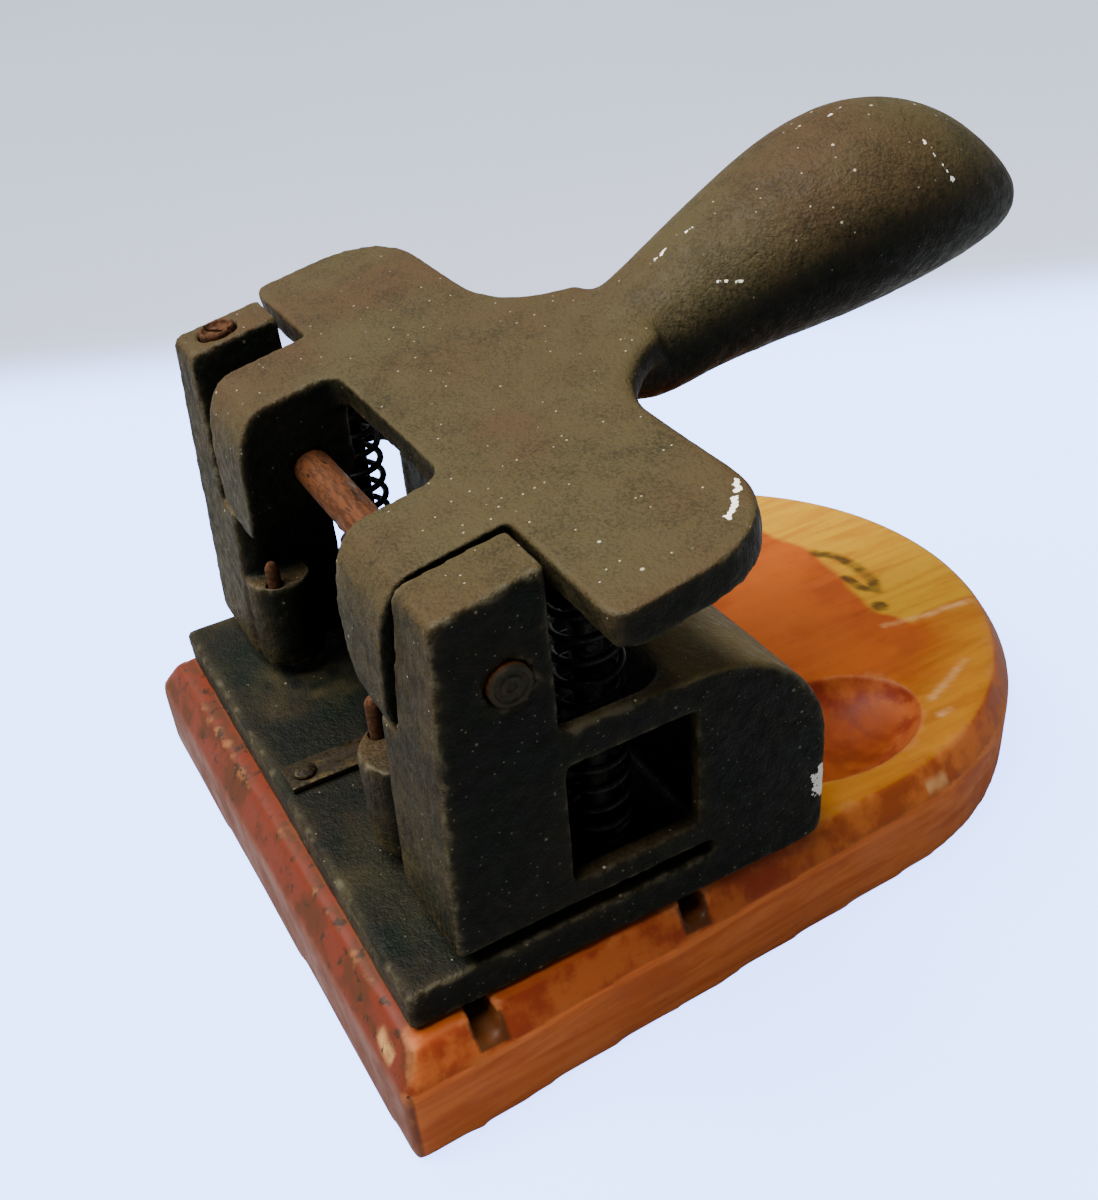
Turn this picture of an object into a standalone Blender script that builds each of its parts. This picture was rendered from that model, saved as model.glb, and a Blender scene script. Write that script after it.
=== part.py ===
"""Bench lever punch: a cast C-frame on a wooden board, with a forked hand lever and two sprung punches.

+Y points from the front edge of the board to the handle, +X to the right, +Z up.
The origin is on the underside, in the middle of the board. All pieces hang from the empty "press",
whose own origin is at the board's front edge, so every length below reads from there.
"""
import math

import bmesh
import bpy
from mathutils import Matrix, Vector

MM = 0.001

# Board
ORIGIN_Y = 92.5
BOARD_FRONT_LEFT = Vector((-72.5, -3.7))
BOARD_FRONT_RIGHT = Vector((73.8, -0.9))
BOARD_ROUND_CENTRE = Vector((-4.0, 118.5))  # the sides run from the front corners to touch this circle
BOARD_ROUND_RADIUS = 70.5
BOARD_THICKNESS = 25.5
BOARD_EDGE_HEIGHT = 18.2  # upright part of the edge, below the bevel
BOARD_BEVEL_INSET = 4.4
BOARD_ARC_STEPS = 48
CHANNELS_Y = ((15.7, 20.2), (62.0, 67.0))
CHANNEL_FLOOR = 20.3
CHANNEL_REACH = 80.0
CHANNEL_HEADROOM = 5.0
RECESS_CENTRE = (41.0, 118.0)
RECESS_HALF = (15.5, 23.0)
RECESS_DEPTH = 9.0
RECESS_BALL_RISE = 3.0  # the ball that hollows the tray is centred this far above the board
SCREW_HEAD_HOLE_RADIUS = 5.2
SCREW_HEAD_HOLE_DEPTH = 6.0
SCREW_SHANK_HOLE_RADIUS = 2.6

# Frame casting
GAP = 0.3
JAW_BOTTOM = BOARD_THICKNESS + GAP
JAW_TOP = 34.7
THROAT_TOP = 37.8
THROAT_BACK_Y = 69.6
FRAME_HALF_WIDTH = 66.4
JAW_FRONT_Y = 5.0
JAW_CHAMFER = 0.8
UPRIGHT_FRONT_BOTTOM = (15.6, THROAT_TOP)
UPRIGHT_FRONT_TOP = (19.0, 107.0)
UPRIGHT_TOP_FRONT = (20.2, 108.42)
UPRIGHT_REAR_TOP = (39.5, 111.9)
UPRIGHT_REAR_Y = 39.7
HOUSING_TOP = 78.6
HOUSING_ROUND = 28.8
HOUSING_FOOT_ROUND = 3.5
HOUSING_REAR_Y = 96.0
SHOULDER_Z = 76.0
FOOT_INNER_X = 39.5
FOOT_CORNER = 5.5
YOKE_HALF_LOW = 47.9  # half the space between the uprights at the shoulders
YOKE_HALF_HIGH = 52.8  # and at the height below
YOKE_HIGH_Z = 108.0
SILL_TOP = 43.2
CAVITY_HALF_X = 63.4
CAVITY_Y = (39.7, 67.0)
CAVITY_LIP_Y = 63.4
CAVITY_LIP_Z = 70.8
CAVITY_LIP_CORNER = 8.0
WINDOW_Y = (40.1, 66.6)
WINDOW_Z = (43.6, 70.4)
BOSSES = (("left", -39.0, 24.1, 7.4), ("right", 31.6, 23.4, 8.6))
BOSS_TOP = 59.5

# Shaft and lever
SHAFT_Y = 31.4
SHAFT_Z = 92.6
SHAFT_RADIUS = 3.95
SHAFT_BORE = 4.05
SHAFT_HALF_LENGTH = 67.3
LEVER_TILT = math.radians(10.25)
LEVER_SIDE_PLAY = 6.2  # the lever sits this far to the right along the shaft
PLATE_TOP = 17.5
PLATE_THICKNESS = 7.3
WING_HALF_WIDTH = 78.6
WING_FRONT_Y = 12.1
WING_REAR_Y = 46.2
WING_CORNER = 18.0
WING_FRONT_CORNER = 4.0
OPENING_HALF_WIDTH = 25.0
OPENING_REAR_Y = 10.8
OPENING_CORNER = 4.5
EAR_OUTER_X = 45.6
EAR_ROOT_Y = 2.6  # the plate's own front edge inside each ear
NECK_HALF_WIDTH = 15.0
NECK_FILLET = 22.0
KNUCKLE_RADIUS = 9.5
# An ear from the side, about the shaft: (y, z) from the plate down the front face to the tongue's underside
EAR_FACE = (
    (-5.5, PLATE_TOP - 0.05),
    (-8.0, 16.6),
    (-9.8, 15.0),
    (-11.6, 12.4),
    (-13.0, 9.0),
    (-14.1, 5.3),
    (-15.0, 0.9),
    (-15.6, -2.0),
    (-16.3, -5.8),
    (-16.8, -9.0),
    (-16.7, -12.0),
    (-15.6, -14.9),
    (-12.2, -14.6),
    (-10.4, -11.5),
)
EAR_REAR = ((10.4, 6.0), (12.0, 10.6), (12.0, PLATE_TOP - 0.05))
EAR_CUT_TOP = 20.0
# The ears from the front: (distance from the lever's middle, z) down the outer edge and up the inner one.
# The right ear is trimmed to clear its upright.
EAR_FRONTS = {
    "left": (
        (EAR_OUTER_X, EAR_CUT_TOP),
        (EAR_OUTER_X, 2.0),
        (45.4, -5.0),
        (44.6, -9.5),
        (42.0, -12.4),
        (38.0, -13.6),
        (33.5, -13.4),
        (30.0, -11.8),
        (27.0, -8.5),
        (25.5, -4.0),
        (25.1, 2.2),
        (OPENING_HALF_WIDTH, 8.0),
        (OPENING_HALF_WIDTH, EAR_CUT_TOP),
    ),
    "right": (
        (EAR_OUTER_X, EAR_CUT_TOP),
        (EAR_OUTER_X, PLATE_TOP),
        (44.3, 8.0),
        (43.4, 2.2),
        (42.9, -1.8),
        (42.3, -5.7),
        (41.6, -9.7),
        (40.9, -12.2),
        (39.4, -13.2),
        (35.5, -12.8),
        (31.5, -11.8),
        (28.2, -10.0),
        (26.2, -7.0),
        (25.3, -3.0),
        (25.1, 2.2),
        (OPENING_HALF_WIDTH, 8.0),
        (OPENING_HALF_WIDTH, EAR_CUT_TOP),
    ),
}
# Neck and handle: distance from the shaft, top, underside and half width
HANDLE_ROWS = (
    (33.0, 16.9, 10.8, 12.6),
    (46.0, 17.4, 5.2, 13.8),
    (55.0, 17.7, 0.4, 14.3),
    (63.4, 20.0, -3.5, 14.2),
    (75.8, 24.0, -2.9, 15.9),
    (91.2, 28.9, -3.7, 19.2),
    (106.0, 32.7, -4.7, 21.9),
    (120.2, 33.9, -5.2, 22.9),
    (132.1, 31.2, -5.2, 21.6),
    (142.2, 25.1, -4.8, 18.6),
    (150.1, 16.1, -3.2, 14.2),
    (154.9, 8.9, 0.8, 8.0),
)
HANDLE_TIP = (157.0, 4.6)
HANDLE_SIDES = 28

# The set screw stands square to the top of the left upright
SET_SCREW_X = -59.8
SET_SCREW_FORWARD = 0.8
SET_SCREW_RADIUS = 4.0
SET_SCREW_TOP = 18.1
SET_SCREW_FOOT = 4.6

# Punches, springs and dies
PUNCH_X = 54.5
PUNCH_Y = 51.5
PUNCH_RADIUS = 3.0
PUNCH_TIP = 38.1
PUNCH_TOP = 102.5
HEAD_TOP = 106.1
HEAD_UNDERSIDE = 98.2
HEAD_RADIUS = 7.2
HEAD_DOME = 12.0
SPRING_RADIUS = 6.1
SPRING_WIRE = 0.8
SPRING_TURNS = 12.0
WASHER_THICKNESS = 1.0
WASHER_OVERHANG = 0.3
BUSH_RADIUS = 5.0
SLIDE_GAP = 0.35

# Small fittings
PIN_SPOTS = (("left", -34.6, 22.0, 65.2), ("right", 26.0, 21.0, 68.2))
PIN_RADIUS = 1.6
PIN_DEPTH = 6.7
STRIP_X = (-2.5, 5.5)
STRIP_Y = (7.0, 52.0)
STRIP_THICKNESS = 1.1
STRIP_SCREW_SPOT = (1.5, 11.0)
STRIP_SCREW_RADIUS = 1.3
STRIP_SCREW_DEPTH = 3.4
SCREW_SPOTS = ((-50.0, 29.0), (50.0, 29.0), (-50.0, 83.0), (50.0, 83.0))


def clear_scene():
    for obj in list(bpy.data.objects):
        bpy.data.objects.remove(obj, do_unlink=True)


def make_collection(name):
    coll = bpy.data.collections.new(name)
    bpy.context.scene.collection.children.link(coll)
    return coll


def make_material(name, colour, roughness, metallic):
    mat = bpy.data.materials.new(name)
    mat.use_nodes = True
    shader = mat.node_tree.nodes["Principled BSDF"]
    shader.inputs["Base Color"].default_value = (*colour, 1.0)
    shader.inputs["Roughness"].default_value = roughness
    shader.inputs["Metallic"].default_value = metallic
    mat.diffuse_color = (*colour, 1.0)
    return mat


clear_scene()
PARTS = make_collection("bench_lever_punch")
CUTTERS = make_collection("cutters")

PRESS = bpy.data.objects.new("press", None)
PRESS.location = (0.0, -ORIGIN_Y * MM, 0.0)
PARTS.objects.link(PRESS)


def finish_part(obj, material):
    """Gives a part its own material and rounds its shading."""
    obj.data.materials.clear()
    obj.data.materials.append(make_material(obj.name + "_surface", *material))
    obj.data.shade_smooth()
    obj.data.set_sharp_from_angle(angle=math.radians(35))
    return obj


def new_object(name, data, location=(0.0, 0.0, 0.0), rotation=(0.0, 0.0, 0.0), cutter=False):
    """Links an object below the press, at a location in millimetres."""
    obj = bpy.data.objects.new(name, data)
    obj.parent = PRESS
    obj.location = Vector(location) * MM
    obj.rotation_euler = rotation
    (CUTTERS if cutter else PARTS).objects.link(obj)
    if cutter:
        obj.hide_render = True
        obj.display_type = "WIRE"
    return obj


def box_object(name, low, high, cutter=False):
    """A box from its low to its high corner, in millimetres."""
    size = Vector(high) - Vector(low)
    centre = (Vector(high) + Vector(low)) / 2
    mesh = bpy.data.meshes.new(name)
    bm = bmesh.new()
    bmesh.ops.create_cube(bm, size=1.0)
    bmesh.ops.scale(bm, vec=size * MM, verts=bm.verts)
    bm.to_mesh(mesh)
    bm.free()
    return new_object(name, mesh, centre, cutter=cutter)


def cylinder_object(name, radius, length, centre, rotation=(0.0, 0.0, 0.0), segments=32, cutter=False):
    """A cylinder along its own Z, about its centre, in millimetres."""
    mesh = bpy.data.meshes.new(name)
    bm = bmesh.new()
    bmesh.ops.create_cone(
        bm,
        cap_ends=True,
        segments=segments,
        radius1=radius * MM,
        radius2=radius * MM,
        depth=length * MM,
    )
    bm.to_mesh(mesh)
    bm.free()
    return new_object(name, mesh, centre, rotation, cutter=cutter)


def outline_object(name, points, thickness, location, rotation, cutter=False):
    """A flat outline in its own XY plane, filled and extruded evenly both ways along its own Z."""
    curve = bpy.data.curves.new(name + "_outline", "CURVE")
    curve.dimensions = "2D"
    curve.fill_mode = "BOTH"
    curve.extrude = thickness / 2 * MM
    spline = curve.splines.new("POLY")
    spline.points.add(len(points) - 1)
    for spot, point in zip(spline.points, points):
        spot.co = (point[0] * MM, point[1] * MM, 0.0, 1.0)
    spline.use_cyclic_u = True
    guide = new_object(name + "_guide", curve, location, rotation)
    mesh = mesh_from_curve(guide, name)
    return new_object(name, mesh, location, rotation, cutter=cutter)


def mesh_from_curve(guide, name):
    """Turns a curve object into a closed mesh and removes the curve."""
    bpy.context.view_layer.update()
    evaluated = guide.evaluated_get(bpy.context.evaluated_depsgraph_get())
    mesh = bpy.data.meshes.new_from_object(evaluated)
    mesh.name = name
    mesh.materials.clear()
    bm = bmesh.new()
    bm.from_mesh(mesh)
    bmesh.ops.remove_doubles(bm, verts=bm.verts, dist=1e-6)
    bmesh.ops.recalc_face_normals(bm, faces=bm.faces)
    bm.to_mesh(mesh)
    bm.free()
    bpy.data.objects.remove(guide, do_unlink=True)
    return mesh


def turned_object(name, profile, location, rotation=(0.0, 0.0, 0.0), steps=32):
    """A turned piece: its profile of (radius, height) runs top to bottom and starts and ends on the axis."""
    mesh = bpy.data.meshes.new(name)
    bm = bmesh.new()
    verts = [bm.verts.new((radius * MM, 0.0, height * MM)) for radius, height in profile]
    for first, second in zip(verts, verts[1:]):
        bm.edges.new((first, second))
    bm.to_mesh(mesh)
    bm.free()
    obj = new_object(name, mesh, location, rotation)
    add_screw(obj, steps)
    return obj


def add_screw(obj, steps):
    screw = obj.modifiers.new("turn", "SCREW")
    screw.axis = "Z"
    screw.angle = 2 * math.pi
    screw.steps = steps
    screw.render_steps = steps
    screw.use_merge_vertices = True
    screw.merge_threshold = 0.00001
    screw.use_smooth_shade = True
    return screw


def ring_object(name, inner, outer, low, high, location, steps=32):
    """A plain ring, turned from the rectangle of its section."""
    mesh = bpy.data.meshes.new(name)
    bm = bmesh.new()
    corners = ((outer, high), (outer, low), (inner, low), (inner, high))
    verts = [bm.verts.new((radius * MM, 0.0, height * MM)) for radius, height in corners]
    for index in range(4):
        bm.edges.new((verts[index], verts[(index + 1) % 4]))
    bm.to_mesh(mesh)
    bm.free()
    obj = new_object(name, mesh, location)
    add_screw(obj, steps)
    return obj


def boolean(obj, other, operation="DIFFERENCE"):
    modifier = obj.modifiers.new(other.name, "BOOLEAN")
    modifier.operation = operation
    modifier.solver = "EXACT"
    modifier.object = other
    return modifier


def arc(centre, radius, start_deg, end_deg, steps):
    """Points along an arc, both ends included."""
    points = []
    for index in range(steps + 1):
        angle = math.radians(start_deg + (end_deg - start_deg) * index / steps)
        points.append((centre[0] + radius * math.cos(angle), centre[1] + radius * math.sin(angle)))
    return points


def mirrored(half):
    """Closes an outline whose right half is given from its first point to its last."""
    return half + [(-x, y) for x, y in reversed(half)]


def smooth_table(rows, value):
    """Catmull-Rom interpolation of rows that start with their own position."""
    last = len(rows) - 1
    index = 0
    while index < last - 1 and rows[index + 1][0] < value:
        index += 1
    before = rows[max(index - 1, 0)]
    start = rows[index]
    end = rows[index + 1]
    after = rows[min(index + 2, last)]
    span = end[0] - start[0]
    t = (value - start[0]) / span
    result = []
    for column in range(1, len(start)):
        slope_in = (end[column] - before[column]) / max(end[0] - before[0], 1e-9) * span
        slope_out = (after[column] - start[column]) / max(after[0] - start[0], 1e-9) * span
        h00 = 2 * t**3 - 3 * t**2 + 1
        h10 = t**3 - 2 * t**2 + t
        h01 = -2 * t**3 + 3 * t**2
        h11 = t**3 - t**2
        result.append(h00 * start[column] + h10 * slope_in + h01 * end[column] + h11 * slope_out)
    return result


SIDE_VIEW = (math.pi / 2, 0.0, math.pi / 2)  # an outline's own X, Y and Z become +Y, +Z and +X
LEVER_VIEW = (math.pi / 2, -LEVER_TILT, math.pi / 2)  # the same, tilted up with the lever
LEVER_FRONT = (math.pi / 2 + LEVER_TILT, 0.0, 0.0)
ALONG_X = (0.0, math.pi / 2, 0.0)

IRON = ((0.052, 0.048, 0.036), 0.62, 0.35)
WOOD = ((0.47, 0.20, 0.065), 0.38, 0.0)
STEEL = ((0.22, 0.20, 0.18), 0.42, 0.9)
COPPERED = ((0.42, 0.17, 0.10), 0.45, 0.75)
RUST = ((0.22, 0.12, 0.07), 0.7, 0.5)
BRASS = ((0.36, 0.25, 0.12), 0.5, 0.8)
BRONZE = ((0.30, 0.20, 0.11), 0.5, 0.8)


def touch_angle(corner, side):
    """The angle at which a straight side from a front corner touches the board's round end."""
    reach = corner - BOARD_ROUND_CENTRE
    spread = math.acos(BOARD_ROUND_RADIUS / reach.length)
    return math.degrees(math.atan2(reach.y, reach.x) + side * spread)


def moved_in(corner, first_turn, second_turn, inset):
    """A corner moved in by the same distance from both of its edges, whose outward angles are given."""
    first = Vector((math.cos(first_turn), math.sin(first_turn)))
    second = Vector((math.cos(second_turn), math.sin(second_turn)))
    return corner - (first + second) * inset / (1.0 + first.dot(second))


def board_outline(inset, height):
    """The board's plan at one height, anticlockwise from the front left corner."""
    right = touch_angle(BOARD_FRONT_RIGHT, 1.0)
    left = touch_angle(BOARD_FRONT_LEFT, -1.0) % 360.0
    front_edge = BOARD_FRONT_RIGHT - BOARD_FRONT_LEFT
    front = math.atan2(-front_edge.x, front_edge.y)
    points = [
        moved_in(BOARD_FRONT_LEFT, math.radians(left), front, inset),
        moved_in(BOARD_FRONT_RIGHT, front, math.radians(right), inset),
    ]
    points += arc(BOARD_ROUND_CENTRE, BOARD_ROUND_RADIUS - inset, right, left, BOARD_ARC_STEPS)
    return [(x, y, height) for x, y in points]


def make_board():
    mesh = bpy.data.meshes.new("base_board")
    bm = bmesh.new()
    loops = []
    for inset, height in (
        (0.0, 0.0),
        (0.0, BOARD_EDGE_HEIGHT),
        (BOARD_BEVEL_INSET, BOARD_THICKNESS),
    ):
        verts = [bm.verts.new(Vector(point) * MM) for point in board_outline(inset, height)]
        loops.append(verts)
    count = len(loops[0])
    for lower, upper in zip(loops, loops[1:]):
        for index in range(count):
            following = (index + 1) % count
            bm.faces.new((lower[index], lower[following], upper[following], upper[index]))
    bm.faces.new(list(reversed(loops[0])))
    bm.faces.new(loops[-1])
    bm.to_mesh(mesh)
    bm.free()
    board = new_object("base_board", mesh)
    for index, (front, rear) in enumerate(CHANNELS_Y):
        cutter = box_object(
            f"channel_cutter_{index + 1}",
            (-CHANNEL_REACH, front, CHANNEL_FLOOR),
            (CHANNEL_REACH, rear, BOARD_THICKNESS + CHANNEL_HEADROOM),
            cutter=True,
        )
        boolean(board, cutter)
    dish_mesh = bpy.data.meshes.new("recess_cutter")
    bm = bmesh.new()
    bmesh.ops.create_uvsphere(bm, u_segments=36, v_segments=18, radius=1.0)
    depth = RECESS_DEPTH + RECESS_BALL_RISE
    widen = 1.0 / math.sqrt(1.0 - (RECESS_BALL_RISE / depth) ** 2)
    size = Vector((RECESS_HALF[0] * widen, RECESS_HALF[1] * widen, depth))
    bmesh.ops.scale(bm, vec=size * MM, verts=bm.verts)
    bm.to_mesh(dish_mesh)
    bm.free()
    dish = new_object(
        "recess_cutter", dish_mesh, (*RECESS_CENTRE, BOARD_THICKNESS + RECESS_BALL_RISE), cutter=True
    )
    boolean(board, dish)
    for index, (x, y) in enumerate(SCREW_SPOTS):
        head = cylinder_object(
            f"screw_head_cutter_{index + 1}",
            SCREW_HEAD_HOLE_RADIUS,
            2 * SCREW_HEAD_HOLE_DEPTH,
            (x, y, 0.0),
            segments=24,
            cutter=True,
        )
        shank = cylinder_object(
            f"screw_shank_cutter_{index + 1}",
            SCREW_SHANK_HOLE_RADIUS,
            3 * BOARD_THICKNESS,
            (x, y, BOARD_THICKNESS / 2),
            segments=20,
            cutter=True,
        )
        boolean(board, head)
        boolean(board, shank)
    return finish_part(board, WOOD)


def frame_profile():
    """The casting's outline seen from the right: (y, z), anticlockwise from the front bottom corner."""
    foot_y = HOUSING_REAR_Y - HOUSING_FOOT_ROUND
    points = [(JAW_FRONT_Y + JAW_CHAMFER, JAW_BOTTOM), (foot_y, JAW_BOTTOM)]
    points += arc((foot_y, JAW_BOTTOM + HOUSING_FOOT_ROUND), HOUSING_FOOT_ROUND, -60.0, 0.0, 3)
    points += arc(
        (HOUSING_REAR_Y - HOUSING_ROUND, HOUSING_TOP - HOUSING_ROUND), HOUSING_ROUND, 0.0, 90.0, 20
    )
    points += [(UPRIGHT_REAR_Y, HOUSING_TOP), UPRIGHT_REAR_TOP]
    points += [UPRIGHT_TOP_FRONT, UPRIGHT_FRONT_TOP, UPRIGHT_FRONT_BOTTOM]
    points += [(THROAT_BACK_Y, THROAT_TOP), (THROAT_BACK_Y, JAW_TOP)]
    points += [(JAW_FRONT_Y + JAW_CHAMFER, JAW_TOP), (JAW_FRONT_Y, JAW_TOP - JAW_CHAMFER)]
    points += [(JAW_FRONT_Y, JAW_BOTTOM + JAW_CHAMFER)]
    return points


def make_frame():
    frame = outline_object(
        "press_frame", frame_profile(), 2 * FRAME_HALF_WIDTH, (0.0, 0.0, 0.0), SIDE_VIEW
    )
    # Space between the uprights, wider towards the top
    slope = (YOKE_HALF_HIGH - YOKE_HALF_LOW) / (YOKE_HIGH_Z - SHOULDER_Z)
    top_z = 130.0
    top_half = YOKE_HALF_LOW + slope * (top_z - SHOULDER_Z)
    yoke = mirrored([(YOKE_HALF_LOW, SHOULDER_Z), (top_half, top_z)])
    yoke_cutter = outline_object(
        "yoke_cutter", yoke, 60.0, (0.0, 15.0, 0.0), (math.pi / 2, 0.0, 0.0), cutter=True
    )
    boolean(frame, yoke_cutter)

    # Space between the feet, with rounded front corners on the feet
    front = UPRIGHT_FRONT_BOTTOM[0]
    half = [(FOOT_INNER_X + FOOT_CORNER, -5.0), (FOOT_INNER_X + FOOT_CORNER, front - 0.5)]
    corner = arc((FOOT_INNER_X + FOOT_CORNER, front + FOOT_CORNER), FOOT_CORNER, -90.0, -180.0, 6)
    half += [(x, y) for x, y in corner]
    half += [(FOOT_INNER_X, 38.0)]
    plan = mirrored(half)
    low = (JAW_TOP + THROAT_TOP) / 2
    feet_cutter = outline_object(
        "feet_cutter",
        plan,
        SHOULDER_Z + 1.0 - low,
        (0.0, 0.0, (SHOULDER_Z + 1.0 + low) / 2),
        (0.0, 0.0, 0.0),
        cutter=True,
    )
    boolean(frame, feet_cutter)
    mouth_cutter = box_object(
        "mouth_cutter",
        (-FOOT_INNER_X, 30.0, SILL_TOP),
        (FOOT_INNER_X, 50.0, SHOULDER_Z + 5.0),
        cutter=True,
    )
    boolean(frame, mouth_cutter)

    # Cavity behind the uprights: a wide lower part and a shorter opening in the roof
    cavity_cutter = box_object(
        "cavity_cutter",
        (-CAVITY_HALF_X, CAVITY_Y[0], SILL_TOP),
        (CAVITY_HALF_X, CAVITY_Y[1], CAVITY_LIP_Z),
        cutter=True,
    )
    boolean(frame, cavity_cutter)
    roof = [(CAVITY_HALF_X, CAVITY_Y[0])]
    corner_spot = (CAVITY_HALF_X - CAVITY_LIP_CORNER, CAVITY_LIP_Y - CAVITY_LIP_CORNER)
    roof += arc(corner_spot, CAVITY_LIP_CORNER, 0.0, 90.0, 8)
    roof_cutter = outline_object(
        "roof_cutter",
        mirrored(roof),
        60.0,
        (0.0, 0.0, CAVITY_LIP_Z - 5.0 + 30.0),
        (0.0, 0.0, 0.0),
        cutter=True,
    )
    boolean(frame, roof_cutter)
    window_cutter = box_object(
        "window_cutter",
        (-FRAME_HALF_WIDTH - 5.0, WINDOW_Y[0], WINDOW_Z[0]),
        (FRAME_HALF_WIDTH + 5.0, WINDOW_Y[1], WINDOW_Z[1]),
        cutter=True,
    )
    boolean(frame, window_cutter)
    for side, x, y, radius in BOSSES:
        boss = cylinder_object(
            f"boss_{side}",
            radius,
            BOSS_TOP - THROAT_TOP,
            (x, y, (BOSS_TOP + THROAT_TOP) / 2),
            segments=28,
            cutter=True,
        )
        boolean(frame, boss, "UNION")

    bore_cutter = cylinder_object(
        "shaft_bore_cutter",
        SHAFT_BORE,
        160.0,
        (0.0, SHAFT_Y, SHAFT_Z),
        ALONG_X,
        segments=36,
        cutter=True,
    )
    boolean(frame, bore_cutter)
    base, axis = set_screw_line()
    hole_cutter = cylinder_object(
        "set_screw_cutter",
        SET_SCREW_RADIUS + GAP,
        30.0,
        base + axis * SET_SCREW_TOP,
        (LEVER_TILT, 0.0, 0.0),
        segments=28,
        cutter=True,
    )
    boolean(frame, hole_cutter)
    for side, sign in (("left", -1.0), ("right", 1.0)):
        guide_cutter = cylinder_object(
            f"punch_guide_cutter_{side}",
            PUNCH_RADIUS + SLIDE_GAP,
            10.0,
            (sign * PUNCH_X, PUNCH_Y, THROAT_TOP + 3.6),
            segments=28,
            cutter=True,
        )
        boolean(frame, guide_cutter)
        bush_cutter = cylinder_object(
            f"die_cutter_{side}",
            BUSH_RADIUS + GAP,
            12.0,
            (sign * PUNCH_X, PUNCH_Y, JAW_TOP - 5.0),
            segments=32,
            cutter=True,
        )
        boolean(frame, bush_cutter)
    for side, x, y, _ in PIN_SPOTS:
        pin_cutter = cylinder_object(
            f"locating_pin_cutter_{side}",
            PIN_RADIUS + GAP,
            2 * (PIN_DEPTH + GAP),
            (x, y, BOSS_TOP),
            segments=20,
            cutter=True,
        )
        boolean(frame, pin_cutter)
    for index, (x, y) in enumerate(SCREW_SPOTS):
        tapped = cylinder_object(
            f"tapped_hole_cutter_{index + 1}",
            2.5,
            12.6,
            (x, y, JAW_BOTTOM),
            segments=20,
            cutter=True,
        )
        boolean(frame, tapped)
    strip_screw_cutter = cylinder_object(
        "strip_screw_cutter",
        STRIP_SCREW_RADIUS + GAP,
        2 * (STRIP_SCREW_DEPTH + GAP),
        (*STRIP_SCREW_SPOT, JAW_TOP),
        segments=16,
        cutter=True,
    )
    boolean(frame, strip_screw_cutter)
    return finish_part(frame, IRON)


def set_screw_line():
    """The set screw's zero point, on the shaft's level, and the direction in which it stands."""
    base = Vector((SET_SCREW_X, SHAFT_Y - SET_SCREW_FORWARD, SHAFT_Z))
    axis = Vector((0.0, -math.sin(LEVER_TILT), math.cos(LEVER_TILT)))
    return base, axis


def plate_outline():
    """The lever's cross plate seen from above, right half first: wing, neck, then the left half."""
    half = [(0.0, OPENING_REAR_Y), (OPENING_HALF_WIDTH - OPENING_CORNER, OPENING_REAR_Y - 0.1)]
    corner_centre = (OPENING_HALF_WIDTH - OPENING_CORNER, OPENING_REAR_Y - OPENING_CORNER)
    half += arc(corner_centre, OPENING_CORNER, 90.0, 0.0, 6)[1:]
    inset = 1.6  # keeps the plate's corners inside the ears
    half += [(OPENING_HALF_WIDTH + 0.6, EAR_ROOT_Y + 0.4), (EAR_OUTER_X - inset, EAR_ROOT_Y)]
    half += [(EAR_OUTER_X - inset, WING_FRONT_Y + 0.4)]
    front_centre = (WING_HALF_WIDTH - WING_FRONT_CORNER, WING_FRONT_Y + WING_FRONT_CORNER)
    half += arc(front_centre, WING_FRONT_CORNER, -90.0, 0.0, 4)
    wing_centre = (WING_HALF_WIDTH - WING_CORNER, WING_REAR_Y - WING_CORNER)
    half += arc(wing_centre, WING_CORNER, 0.0, 90.0, 10)
    neck_centre = (NECK_HALF_WIDTH + NECK_FILLET, WING_REAR_Y + NECK_FILLET)
    half += arc(neck_centre, NECK_FILLET, -90.0, -165.0, 10)
    return half + [(-x, y) for x, y in reversed(half[1:])]


def ear_profile():
    """An ear seen from the right, about the shaft: front face, tongue, knuckle and the rear fillet."""
    knuckle = arc((0.0, 0.0), KNUCKLE_RADIUS, -125.0, 0.0, 10)
    return [*EAR_FACE, *knuckle, *EAR_REAR]


def handle_mesh():
    """The neck and the oval bulb, lofted through sections that stand across the lever's length."""
    stations = [HANDLE_ROWS[0][0]]
    for row, following in zip(HANDLE_ROWS, HANDLE_ROWS[1:]):
        stations += [(row[0] + following[0]) / 2, following[0]]
    bm = bmesh.new()
    rings = []
    for y in stations:
        top, bottom, half_width = smooth_table(HANDLE_ROWS, y)
        middle = (top + bottom) / 2
        half_height = (top - bottom) / 2
        ring = []
        for step in range(HANDLE_SIDES):
            angle = 2 * math.pi * step / HANDLE_SIDES
            x = half_width * math.cos(angle)
            z = middle + half_height * math.sin(angle)
            ring.append(bm.verts.new(Vector((x, y, z)) * MM))
        rings.append(ring)
    for ring, following in zip(rings, rings[1:]):
        for step in range(HANDLE_SIDES):
            after = (step + 1) % HANDLE_SIDES
            bm.faces.new((ring[step], ring[after], following[after], following[step]))
    end = bm.verts.new(Vector((0.0, *HANDLE_TIP)) * MM)
    last = rings[-1]
    for step in range(HANDLE_SIDES):
        bm.faces.new((last[step], last[(step + 1) % HANDLE_SIDES], end))
    bm.faces.new(rings[0])
    bmesh.ops.recalc_face_normals(bm, faces=bm.faces)
    mesh = bpy.data.meshes.new("handle")
    bm.to_mesh(mesh)
    bm.free()
    return mesh


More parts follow.
